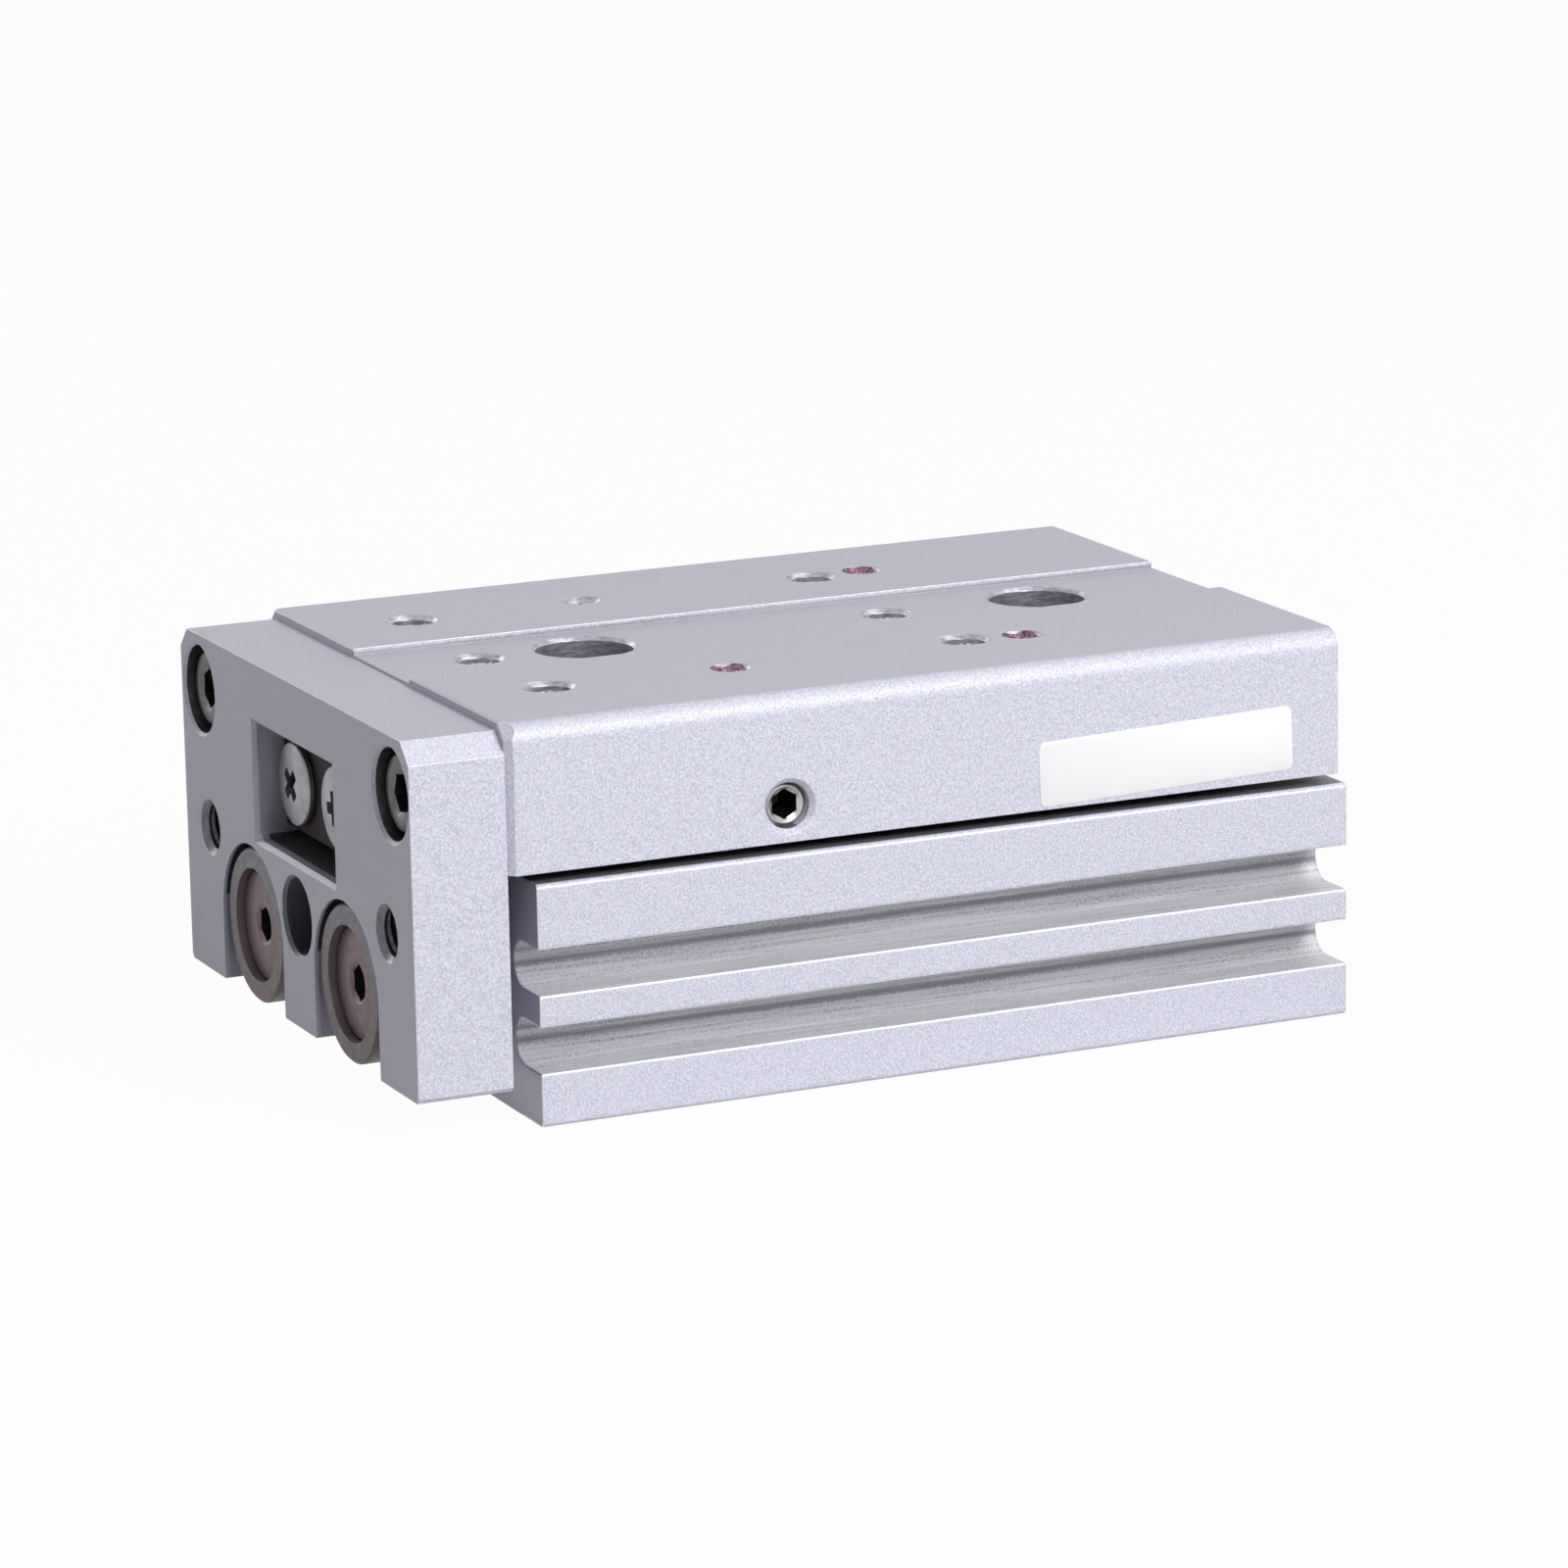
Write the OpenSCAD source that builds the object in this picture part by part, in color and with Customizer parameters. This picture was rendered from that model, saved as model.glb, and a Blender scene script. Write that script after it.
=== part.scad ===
// Compact pneumatic slide table: two cylinders side by side in one body push an
// end plate, which carries a table on crossed-roller rails over a guide block.
// The table is drawn pulled in. X runs across, Y along the travel (rear is +Y), Z is up.
// Pieces are laid out from the end plate's front face, and place() centres them.

/* [Overall] */
// Width across the body
body_w = 71.6; // [70:0.1:74]
// Length from the end plate's front to the body's rear, table pulled in
overall_l = 111; // [111:1:125]
// Height from the body's underside to the table's top
overall_h = 44; // [44:0.5:46]
// Travel of the table
stroke = 20; // [5:1:20]

/* [Cylinder body] */
// Height of the body
body_h = 26.5; // [26:0.1:26.8]
// Gap between the end plate and the body, table pulled in
front_gap = 3; // [2:0.5:4]
// Bore of each cylinder
bore_d = 20; // [19:0.1:20.4]
// Distance between the cylinder axes
bore_pitch = 29; // [28.5:0.1:29.4]
// Height of the cylinder axes
bore_z = 12.5; // [12.2:0.1:12.8]
// Height of a sensor slot
sensor_slot_h = 5.1; // [4.6:0.1:5.4]
// Depth of a sensor slot
sensor_slot_depth = 7; // [6:0.1:7.5]
// Height of the lower sensor slot's centre line
sensor_slot_z = 8.4; // [8:0.1:8.8]
// Distance between the sensor slots
sensor_slot_pitch = 8.5; // [8:0.1:9]
// Distance between the two body mounting holes
body_hole_pitch = 56; // [52:0.5:58]
// Tapping diameter of the M6 holes
m6_tap_d = 5.1; // [4.9:0.05:5.2]
// Diameter of the dowel holes in the underside
dowel_d = 5; // [4:0.1:6]
// Distance between the dowel holes in the underside
dowel_pitch = 84; // [80:1:86]
// Tapping diameter of the air ports, 1/8 inch pipe thread
port_d = 8.6; // [8.2:0.1:9]

/* [End plate] */
// Width of the end plate
plate_w = 70.4; // [69.6:0.1:71]
// Thickness of the end plate
plate_t = 10.8; // [10.8:0.1:12]
// Height of the end plate's underside above the body's
plate_bottom = 4.2; // [4:0.1:4.5]
// Height of the end plate's top above the body's underside
plate_top = 43; // [42.6:0.1:43.2]
// Chamfer on the end plate's two top corners
plate_chamfer = 2.3; // [1:0.1:2.5]
// Distance between the screws that hold the end plate
plate_screw_pitch = 59.2; // [58:0.1:59.4]
// Height of the screws that hold the end plate
plate_screw_z = 36.6; // [36:0.1:36.8]
// Distance between the threaded holes in the end plate
plate_hole_pitch = 54.8; // [54:0.1:56]
// Height of the threaded holes in the end plate
plate_hole_z = 21.1; // [20.5:0.1:22]
// Bore in the middle of the end plate
centre_bore_d = 8.6; // [8:0.1:8.8]
// Height of the middle bore
centre_bore_z = 16.8; // [16.4:0.1:17]
// Width of the window that the guide block enters
window_w = 24.4; // [24.2:0.1:25.5]
// Width of the slots that hold the floating bushes
bush_slot_w = 19.4; // [18.6:0.1:19.6]
// Height of the top of those slots
bush_slot_top = 21.8; // [21.6:0.1:22.2]

/* [Table] */
// Width of the table
table_w = 71.4; // [70:0.1:71.4]
// Clear height between the body and the table's skirts
table_gap = 1.2; // [1:0.1:1.5]
// Radius along the table's top edges
table_edge_r = 2.2; // [1:0.1:3]
// Width of the shallow channel along the table's top
channel_w = 17; // [16:0.5:20]
// Depth of that channel
channel_depth = 0.7; // [0.5:0.1:1]
// Chamfer on the sides of the table's front end
table_front_chamfer = 0.8; // [0.4:0.1:1]
// Distance across the table's four threaded holes
table_hole_x = 40; // [38:0.5:42]
// Distance along the table's four threaded holes
table_hole_y = 49.5; // [48:0.5:52]
// Distance of the first threaded holes from the end plate's front
table_hole_start = 22.2; // [20:0.1:24]
// Diameter of the two access holes in the table
access_d = 11; // [10:0.1:11.4]

/* [Guide] */
// Width of the guide block
block_w = 23.6; // [23:0.1:23.6]
// Height of the rollers' line and of the preload screw
roller_z = 31.6; // [31.4:0.1:31.8]
// Diameter of a roller
roller_d = 4; // [3.8:0.05:4]
// Number of rollers on each side
roller_count = 11; // [7:2:11]
// Distance between neighbouring rollers
roller_pitch = 5.5; // [5.2:0.1:5.6]

/* [Cylinder internals] */
// Diameter of a piston rod
rod_d = 10; // [9:0.5:10]
// Length of a piston
piston_l = 24; // [23:0.5:25]
// Diameter of a floating bush's flange
bush_flange_d = 17.5; // [17:0.1:17.6]

/* [Hidden] */
$fn = 64;
hex_fn = 6;
running_gap = 0.05;
seat_gap = 0.03;
edge_break = 0.35;
rim_chamfer = 0.35;
window_chamfer = 0.45;
table_top_break = 0.2;
table_corner_cut = 2.5;
cut = 1;

body_front = plate_t + front_gap;
body_seat_depth = 2.9;
block_bottom = body_h - body_seat_depth;
block_top = 35.7;
block_front = 7;
block_rear = overall_l - 4;
table_bottom = body_h + table_gap;
table_front = plate_t;
table_rear = overall_l - 1;
channel_floor = overall_h - channel_depth;
rail_in = 13;
rail_out = 24.5;
rail_top = 35.9;
rail_bottom = table_bottom + 0.2;
rail_front = table_front + 0.6;
rail_rear = table_rear - 0.6;
ceiling_z = 36.6;
groove_half = 2.3;
roller_x = (block_w / 2 + rail_in) / 2;
cage_t = 0.7;
cage_h = 6.4;
cage_l = (roller_count - 1) * roller_pitch + 8;
cage_mid = (block_front + block_rear) / 2 + stroke / 4;

window_bottom = 22.9;
window_top = 36.2;
window_corner_r = 1;
web_front = 5.5;
web_back = 8;
web_slot_w = 13.4;
bush_slot_z = bush_slot_top - bush_slot_w / 2;

body_hole_y = 34.8;
dowel_y = 20.8;
m5_clear_d = 5.5;
m5_cbore_d = 9.5;
m6_rim_d = 6.5;
table_rim_d = 6.1;
block_screw_y = [20, 62.8, 103];
block_screw_head_d = 7;
block_screw_head_h = 4;
block_screw_seat = 4.6;
front_stop_t = 3.6;
rear_stop_t = 2;
stop_screw_x = 6.65;
stop_screw_z = 30;
stop_screw_head_h = 1.3;
rail_screw_x = 20.8;
rail_screw_d = 3.3;
rail_screw_y = [43.2, 78.5];
preload_y = 43.2;
preload_d = 5;

cover_front = body_front + 2.2;
cover_rear = 49;
bumper_t = 2.3;
cap_front = overall_l - 12;
cap_rear = overall_l - 3.4;
ring_t = 1.1;
longest_stroke = 20;
piston_front = cover_rear + bumper_t + 0.2 + longest_stroke;
piston_rear = piston_front + piston_l;
passage_d = 2.6;
front_passage_y = cover_rear + passage_d / 2;
rear_passage_y = cap_front - 0.5 - passage_d / 2;
piston_seal_at = [3.5, piston_l - 6];
magnet_at = piston_l / 2 - 2;
rod_front = plate_t - 0.3;
flange_front = 0.4;

// ---- Placing and basic solids -------------------------------------------------

// Moves a piece laid out from the end plate's front face into the part's frame.
module place() {
    translate([0, -overall_l / 2, 0]) children();
}

// Extrudes a section drawn in X and Z from y0 to y1.
module prism_y(y0, y1) {
    translate([0, y1, 0]) rotate([90, 0, 0]) linear_extrude(y1 - y0) children();
}

// Round bar or hole along Y.
module bar_y(d, y0, y1, x = 0, z = 0) {
    translate([x, y1, z]) rotate([90, 0, 0]) cylinder(d = d, h = y1 - y0);
}

// Cone along Y, from diameter d0 at y0 to d1 at y1.
module cone_y(d0, d1, y0, y1, x = 0, z = 0) {
    translate([x, y0, z]) rotate([-90, 0, 0]) cylinder(d1 = d0, d2 = d1, h = y1 - y0);
}

// Ring along Y.
module ring_y(d_out, d_in, y0, y1, x = 0, z = 0) {
    difference() {
        bar_y(d_out, y0, y1, x, z);
        bar_y(d_in, y0 - cut, y1 + cut, x, z);
    }
}

// Hole down along Z from a face at height top, with a chamfered rim.
module hole_down(d, top, depth, rim_d) {
    rim_t = (rim_d - d) / 2;
    translate([0, 0, top - depth]) cylinder(d = d, h = depth + cut);
    translate([0, 0, top - rim_t]) cylinder(d1 = d, d2 = rim_d, h = rim_t);
}

// Hole along Y from the end plate's front face, with a chamfered rim.
module plate_hole(d, depth, rim_d, x, z) {
    rim_t = (rim_d - d) / 2;
    bar_y(d, -cut, depth, x, z);
    cone_y(rim_d, d, 0, rim_t, x, z);
}

// Repeats a piece at both cylinder axes.
module both_bores() {
    for (side = [-1, 1])
        translate([side * bore_pitch / 2, 0, bore_z]) children();
}

// Rectangle centred on X, from z0 to z1.
module band(w, z0, z1) {
    translate([-w / 2, z0]) square([w, z1 - z0]);
}

// Corner left over when a square corner is rounded; the corner points to +X and +Z.
module round_off(r) {
    difference() {
        translate([-r, -r]) square([r + cut, r + cut]);
        translate([-r, -r]) circle(r);
    }
}

// Cuts a 45 degree chamfer of leg c along an edge that runs along X.
module chamfer_x(w, y, z, c) {
    translate([0, y, z]) rotate([45, 0, 0]) cube([w, c * sqrt(2), c * sqrt(2)], center = true);
}

// Cuts a 45 degree chamfer of leg c along an edge that runs up from z0 to z1.
module chamfer_z(z0, z1, x, y, c) {
    translate([x, y, (z0 + z1) / 2]) rotate([0, 0, 45])
        cube([c * sqrt(2), c * sqrt(2), z1 - z0], center = true);
}

// Cuts off the corner that points to +X, -Y and +Z, evenly, a leg along each edge.
module corner_cut(x, y, z, leg) {
    translate([x - leg, y, z]) rotate([0, -atan(1 / sqrt(2)), -45])
        translate([0, -2 * leg, -2 * leg]) cube([2 * leg, 4 * leg, 4 * leg]);
}

// ---- Fasteners ----------------------------------------------------------------

// Socket screw along +Y with its head's face at y = 0.
module socket_screw_y(head_d, head_h, hex, thread_d, reach) {
    difference() {
        union() {
            bar_y(head_d, 0.3, head_h);
            cone_y(head_d - 0.6, head_d, 0, 0.3);
            bar_y(thread_d, head_h - 0.1, head_h + reach);
        }
        translate([0, -cut, 0]) rotate([-90, 0, 0])
            cylinder(d = hex / cos(30), h = cut + head_h * 0.55, $fn = hex_fn);
    }
}

// Headless socket screw along +Y with its socket end at y = 0.
module set_screw_y(thread_d, hex, reach) {
    difference() {
        union() {
            bar_y(thread_d, 0.4, reach - 0.4);
            cone_y(thread_d - 0.8, thread_d, 0, 0.4);
            cone_y(thread_d, thread_d - 0.8, reach - 0.4, reach);
        }
        translate([0, -cut, 0]) rotate([-90, 0, 0])
            cylinder(d = hex / cos(30), h = cut + reach * 0.4, $fn = hex_fn);
    }
}

// Low domed cross-recess screw along +Y with its crown at y = 0.
module cross_screw_y(head_d, head_h, thread_d, reach) {
    dome_r = 24;
    recess_w = 4.2;
    blade_t = 1;
    recess_depth = 1.7;
    difference() {
        union() {
            intersection() {
                bar_y(head_d, 0, head_h);
                translate([0, dome_r, 0]) sphere(dome_r);
            }
            bar_y(thread_d, head_h - 0.1, head_h + reach);
        }
        for (turn = [45, 135])
            rotate([0, turn, 0]) translate([-recess_w / 2, -cut, -blade_t / 2])
                cube([recess_w, cut + recess_depth, blade_t]);
    }
}

// ---- Cylinder body and what is fixed in it --------------------------------------

// One sensor slot on the +X side: parallel walls and a half-round bottom.
module sensor_slot_section() {
    r = sensor_slot_h / 2;
    round_x = body_w / 2 - sensor_slot_depth + r;
    translate([round_x, -r]) square([sensor_slot_depth, sensor_slot_h]);
    translate([round_x, 0]) circle(r);
}

module cylinder_body() place() color("#c8c8d3") {
    half = body_w / 2;
    difference() {
        prism_y(body_front, overall_l) difference() {
            polygon([
                [-half + edge_break, 0], [half - edge_break, 0], [half, edge_break],
                [half, body_h - edge_break], [half - edge_break, body_h],
                [-half + edge_break, body_h], [-half, body_h - edge_break], [-half, edge_break]
            ]);
            band(block_w + 0.4, block_bottom, body_h + cut);
            for (level = [0, 1])
                translate([0, sensor_slot_z + level * sensor_slot_pitch]) sensor_slot_section();
        }
        both_bores() {
            bar_y(bore_d, body_front - cut, overall_l + cut);
            cone_y(bore_d + 1, bore_d, body_front, body_front + 0.5);
            cone_y(bore_d, bore_d + 1, overall_l - 0.5, overall_l);
            bar_y(bore_d + 1.2, cover_front - ring_t, cover_front);
            bar_y(bore_d + 1.2, cap_rear, cap_rear + ring_t);
        }
        for (y = [front_passage_y, rear_passage_y]) {
            translate([-half - cut, y, bore_z]) rotate([0, 90, 0])
                cylinder(d = passage_d, h = half + cut + bore_pitch / 2 + bore_d / 4);
            translate([-half - cut, y, bore_z]) rotate([0, 90, 0])
                cylinder(d = port_d, h = 8 + cut);
            translate([-half, y, bore_z]) rotate([0, 90, 0])
                cylinder(d1 = port_d + 1.2, d2 = port_d, h = 0.6);
        }
        for (y = [body_hole_y, body_hole_y + body_hole_pitch]) {
            translate([0, y, -cut]) cylinder(d = m6_tap_d, h = body_h + 2 * cut);
            translate([0, y, 0]) cylinder(d1 = m6_rim_d, d2 = m6_tap_d, h = (m6_rim_d - m6_tap_d) / 2);
        }
        for (y = [dowel_y, dowel_y + dowel_pitch])
            translate([0, y, -cut]) cylinder(d = dowel_d, h = 5 + cut);
        for (y = block_screw_y)
            translate([0, y, block_bottom - 9]) cylinder(d = 4.06, h = 9 + cut);
    }
}

// V groove, 90 degrees, cut into a face at x = 0 that looks towards +X.
module v_groove(half_h) {
    relief = 0.4;
    polygon([
        [cut, half_h + cut], [-half_h + relief, relief], [-half_h - relief, relief],
        [-half_h - relief, -relief], [-half_h + relief, -relief], [cut, -half_h - cut]
    ]);
}

module guide_block() place() color("#8d8c92") {
    half = block_w / 2;
    difference() {
        prism_y(block_front, block_rear) difference() {
            band(block_w, block_bottom, block_top);
            for (side = [0, 1])
                mirror([side, 0]) translate([half, roller_z]) v_groove(groove_half);
        }
        for (y = block_screw_y)
            translate([0, y, 0]) {
                translate([0, 0, block_bottom - cut]) cylinder(d = 4.5, h = 20);
                translate([0, 0, block_top - block_screw_seat])
                    cylinder(d = block_screw_head_d + 0.8, h = 10);
            }
        for (y = [body_hole_y, body_hole_y + body_hole_pitch])
            translate([0, y, 0]) {
                translate([0, 0, block_bottom - cut]) cylinder(d = m5_clear_d, h = 20);
                hole_down(m5_cbore_d, block_top, 5.6, m5_cbore_d + 0.8);
            }
        for (x = [-stop_screw_x, stop_screw_x]) {
            bar_y(5.06, block_front - cut, block_front + 7, x, stop_screw_z);
            bar_y(5.06, block_rear - 7, block_rear + cut, x, stop_screw_z);
        }
    }
}

module guide_block_screws() place() color("#4c4c50") {
    for (y = block_screw_y)
        translate([0, y, block_top - block_screw_seat + block_screw_head_h]) rotate([-90, 0, 0])
            socket_screw_y(block_screw_head_d, block_screw_head_h, 3, 4, 16);
}

// Plate across the end of the guide block that closes both roller grooves.
module roller_stop(y0, y1) {
    difference() {
        prism_y(y0, y1) band(22.8, 24.6, 35.3);
        for (x = [-stop_screw_x, stop_screw_x])
            bar_y(m5_clear_d, y0 - cut, y1 + cut, x, stop_screw_z);
    }
}

module front_roller_stop() place() color("#3f3637") roller_stop(block_front - front_stop_t, block_front);

module rear_roller_stop() place() color("#3f3637") roller_stop(block_rear, block_rear + rear_stop_t);

module front_stop_screws() place() color("#a9a9a6") {
    for (x = [-stop_screw_x, stop_screw_x])
        translate([x, block_front - front_stop_t - stop_screw_head_h, stop_screw_z])
            cross_screw_y(9.4, stop_screw_head_h, 5, 8);
}

module rear_stop_screws() place() color("#a9a9a6") {
    for (x = [-stop_screw_x, stop_screw_x])
        translate([x, block_rear + rear_stop_t + stop_screw_head_h, stop_screw_z]) rotate([0, 0, 180])
            cross_screw_y(9.4, stop_screw_head_h, 5, 8);
}

module rod_covers() place() color("#b9b9b4") {
    both_bores() difference() {
        bar_y(bore_d - 2 * seat_gap, cover_front, cover_rear);
        bar_y(rod_d + 2 * running_gap, cover_front - cut, cover_rear + cut);
        bar_y(rod_d + 5, cover_front + 2, cover_front + 6);
        bar_y(rod_d + 1.5, cover_front - cut, cover_front + 1);
        ring_y(bore_d + 2, bore_d - 3, cover_rear - 9, cover_rear - 6.4);
    }
}

module rod_seals() place() color("#26272a") {
    both_bores() difference() {
        bar_y(rod_d + 4.9, cover_front + 2.05, cover_front + 5.95);
        bar_y(rod_d + 2 * running_gap, cover_front, cover_front + 8);
        ring_y(rod_d + 3.6, rod_d + 1.4, cover_front + 4.4, cover_front + 8);
    }
}

module cover_o_rings() place() color("#222326") {
    both_bores() ring_y(bore_d - 2 * seat_gap, bore_d - 2.9, cover_rear - 8.8, cover_rear - 6.6);
}

// Open spring ring with a gap at the bottom and two eyes for the fitting pliers.
module snap_ring(y0, y1) {
    gap_w = 5;
    eye_x = 3.9;
    eye_z = -(bore_d / 2 - 2.2);
    difference() {
        union() {
            ring_y(bore_d + 1, bore_d - 2.6, y0, y1);
            for (side = [-1, 1])
                bar_y(3, y0, y1, side * eye_x, eye_z);
        }
        translate([-gap_w / 2, y0 - cut, -bore_d]) cube([gap_w, y1 - y0 + 2 * cut, bore_d]);
        for (side = [-1, 1])
            bar_y(1.4, y0 - cut, y1 + cut, side * eye_x, eye_z);
    }
}

module front_snap_rings() place() color("#55565a") {
    both_bores() snap_ring(cover_front - ring_t + 0.05, cover_front - 0.05);
}

module rear_snap_rings() place() color("#55565a") {
    both_bores() snap_ring(cap_rear + 0.05, cap_rear + ring_t - 0.05);
}

module head_caps() place() color("#b9b9b4") {
    both_bores() difference() {
        bar_y(bore_d - 2 * seat_gap, cap_front, cap_rear);
        bar_y(3.3, cap_rear - 6, cap_rear + cut);
        cone_y(3.3, 4.3, cap_rear - 0.5, cap_rear);
        ring_y(bore_d + 2, bore_d - 3, cap_front + 2.4, cap_front + 5);
    }
}

module cap_o_rings() place() color("#222326") {
    both_bores() ring_y(bore_d - 2 * seat_gap, bore_d - 2.9, cap_front + 2.6, cap_front + 4.8);
}

module front_bumpers() place() color("#7a5a33") {
    both_bores() ring_y(17, rod_d + 1, cover_rear, cover_rear + bumper_t);
}

module rear_bumpers() place() color("#7a5a33") {
    both_bores() bar_y(15, piston_rear + 0.2, cap_front);
}

// ---- Table, end plate and what moves with them ----------------------------------

module table() place() color("#b6b6c0") {
    half = table_w / 2;
    hole_ys = [table_hole_start, table_hole_start + table_hole_y];
    difference() {
        prism_y(table_front, table_rear) difference() {
            band(table_w, table_bottom, overall_h);
            for (side = [0, 1])
                mirror([side, 0]) translate([half, overall_h]) round_off(table_edge_r);
            band(channel_w, channel_floor, overall_h + cut);
            band(2 * rail_out, table_bottom - cut, rail_top);
            band(2 * rail_in - 0.8, table_bottom, ceiling_z);
        }
        chamfer_x(table_w + 2, table_front, overall_h, table_top_break);
        for (side = [0, 1])
            mirror([side, 0, 0]) {
                chamfer_z(0, overall_h + cut, half, table_front, table_front_chamfer);
                corner_cut(half, table_front, overall_h, table_corner_cut);
            }
        for (x = [-table_hole_x / 2, table_hole_x / 2])
            for (y = hole_ys)
                translate([x, y, 0]) hole_down(m6_tap_d, overall_h, 7.2, table_rim_d);
        for (y = hole_ys)
            translate([0, y, 0]) hole_down(m6_tap_d, channel_floor, 10, table_rim_d);
        for (y = [body_hole_y, body_hole_y + body_hole_pitch])
            translate([0, y, 0]) hole_down(access_d, channel_floor, 10, access_d + 0.8);
        for (side = [-1, 1])
            for (y = rail_screw_y)
                translate([side * rail_screw_x, y, 0])
                    hole_down(rail_screw_d + 2 * seat_gap, overall_h, 10, 4.7);
        translate([rail_out - cut, preload_y, roller_z]) rotate([0, 90, 0])
            cylinder(d = preload_d + 2 * seat_gap, h = half);
        translate([half - 0.6, preload_y, roller_z]) rotate([0, 90, 0])
            cylinder(d1 = preload_d, d2 = preload_d + 1.4, h = 0.7);
        for (side = [-1, 1])
            bar_y(5.06, table_front - cut, table_front + 14, side * plate_screw_pitch / 2, plate_screw_z);
    }
}

// Slot with a round top, open downwards; the section is drawn in X and Z.
module arch_section(w, z_mid) {
    translate([0, z_mid]) circle(d = w);
    band(w, -cut, z_mid);
}

// Mouth of a rectangular window in the front face, with a chamfer of leg c on all four sides.
// Its inner end is a little smaller than the window, so it crosses the walls and corners cleanly.
module flared_window(w, z0, z1, c) {
    h = z1 - z0;
    within = 0.2;
    grow = 2 * (c + cut);
    translate([0, -cut, (z0 + z1) / 2]) rotate([-90, 0, 0])
        linear_extrude(height = c + cut + within / 2,
                       scale = [(w - within) / (w + grow), (h - within) / (h + grow)])
            square([w + grow, h + grow], center = true);
}

module end_plate() place() color("#a09fa9") {
    half = plate_w / 2;
    c = plate_chamfer;
    leg_break = 0.5;
    difference() {
        prism_y(0, plate_t) polygon([
            [-half + leg_break, plate_bottom], [half - leg_break, plate_bottom],
            [half, plate_bottom + leg_break], [half, plate_top - c], [half - c, plate_top],
            [-half + c, plate_top], [-half, plate_top - c], [-half, plate_bottom + leg_break]
        ]);
        prism_y(-cut, plate_t + cut) difference() {
            band(window_w, window_bottom, window_top);
            for (side = [0, 1])
                mirror([side, 0]) translate([window_w / 2, window_bottom]) mirror([0, 1])
                    round_off(window_corner_r);
        }
        flared_window(window_w, window_bottom, window_top, window_chamfer);
        for (side = [-1, 1])
            translate([side * bore_pitch / 2, 0, 0]) {
                prism_y(-cut, web_front) arch_section(bush_slot_w, bush_slot_z);
                prism_y(0, plate_t) arch_section(web_slot_w, bore_z);
                prism_y(web_back, plate_t + cut) arch_section(bush_slot_w, bush_slot_z);
            }
        for (side = [-1, 1]) {
            x = side * plate_screw_pitch / 2;
            plate_hole(10, 6.1, 10 + 2 * rim_chamfer, x, plate_screw_z);
            bar_y(m5_clear_d, 0, plate_t + cut, x, plate_screw_z);
            plate_hole(m6_tap_d, plate_t + cut, m6_rim_d, side * plate_hole_pitch / 2, plate_hole_z);
        }
        plate_hole(centre_bore_d, plate_t + cut, centre_bore_d + 2 * rim_chamfer, 0, centre_bore_z);
    }
}

module end_plate_screws() place() color("#4c4c50") {
    for (side = [-1, 1])
        translate([side * plate_screw_pitch / 2, 1.1, plate_screw_z]) rotate([0, 30, 0])
            socket_screw_y(8.5, 5, 4, 5, 16);
}

// Crossed-roller rail on the +X side; its groove looks at the guide block.
module rail() {
    difference() {
        prism_y(rail_front, rail_rear) difference() {
            translate([rail_in, rail_bottom])
                square([rail_out - rail_in, rail_top - rail_bottom]);
            translate([rail_in, roller_z]) mirror([1, 0]) v_groove(groove_half);
        }
        for (y = rail_screw_y)
            translate([rail_screw_x, y, rail_top - 5])
                cylinder(d = rail_screw_d + 2 * seat_gap, h = 5 + cut);
    }
}

module right_rail() place() color("#8d8c92") rail();

module left_rail() place() color("#8d8c92") mirror([1, 0, 0]) rail();

module rail_screws() place() color("#5a5053") {
    for (side = [-1, 1])
        for (y = rail_screw_y)
            translate([side * rail_screw_x, y, rail_top - 4.6 + 9.5]) rotate([-90, 0, 0])
                set_screw_y(rail_screw_d, 2, 9.5);
}

module preload_screw() place() color("#8f8b8c") {
    translate([rail_out + 10, preload_y, roller_z]) rotate([0, 0, 90])
        rotate([0, 30, 0]) set_screw_y(preload_d, 3, 10);
}

module floating_bushes() place() color("#8a8484") {
    both_bores() difference() {
        union() {
            bar_y(bush_flange_d, flange_front + 0.3, web_front - 0.1);
            cone_y(bush_flange_d - 0.6, bush_flange_d, flange_front, flange_front + 0.3);
            bar_y(web_slot_w - 1, web_front - 0.2, web_back + 0.1);
        }
        bar_y(12.9, flange_front - cut, 3.9);
        bar_y(6.4, 0, plate_t);
    }
}

module bush_collars() place() color("#8a8484") {
    both_bores() ring_y(bush_flange_d - 0.3, 6.4, web_back + 0.1, rod_front);
}

module rod_end_screws() place() color("#75686a") {
    both_bores() translate([0, 1.15, 0]) socket_screw_y(11, 2.75, 4, 6, 18);
}

module piston_rods() place() color("#bdbdc0") {
    both_bores() difference() {
        union() {
            bar_y(rod_d, rod_front + 0.5, piston_front);
            cone_y(rod_d - 1, rod_d, rod_front, rod_front + 0.5);
            bar_y(6, piston_front - 0.1, piston_rear - 0.4);
        }
        bar_y(6.06, rod_front - cut, rod_front + 15);
    }
}

module pistons() place() color("#c4b27a") {
    both_bores() difference() {
        bar_y(bore_d - 0.5, piston_front, piston_rear);
        bar_y(6.06, piston_front - cut, piston_rear + cut);
        for (at = piston_seal_at)
            ring_y(bore_d + 2, bore_d - 5, piston_front + at, piston_front + at + 2.5);
        ring_y(bore_d + 2, bore_d - 6, piston_front + magnet_at, piston_front + magnet_at + 4);
    }
}

module piston_seals() place() color("#222326") {
    both_bores() for (at = piston_seal_at)
        ring_y(bore_d - 2 * running_gap, bore_d - 4.9, piston_front + at + 0.05, piston_front + at + 2.45);
}

module piston_magnets() place() color("#3c3c40") {
    both_bores() ring_y(bore_d - 0.7, bore_d - 5.9, piston_front + magnet_at + 0.05, piston_front + magnet_at + 3.95);
}

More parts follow.
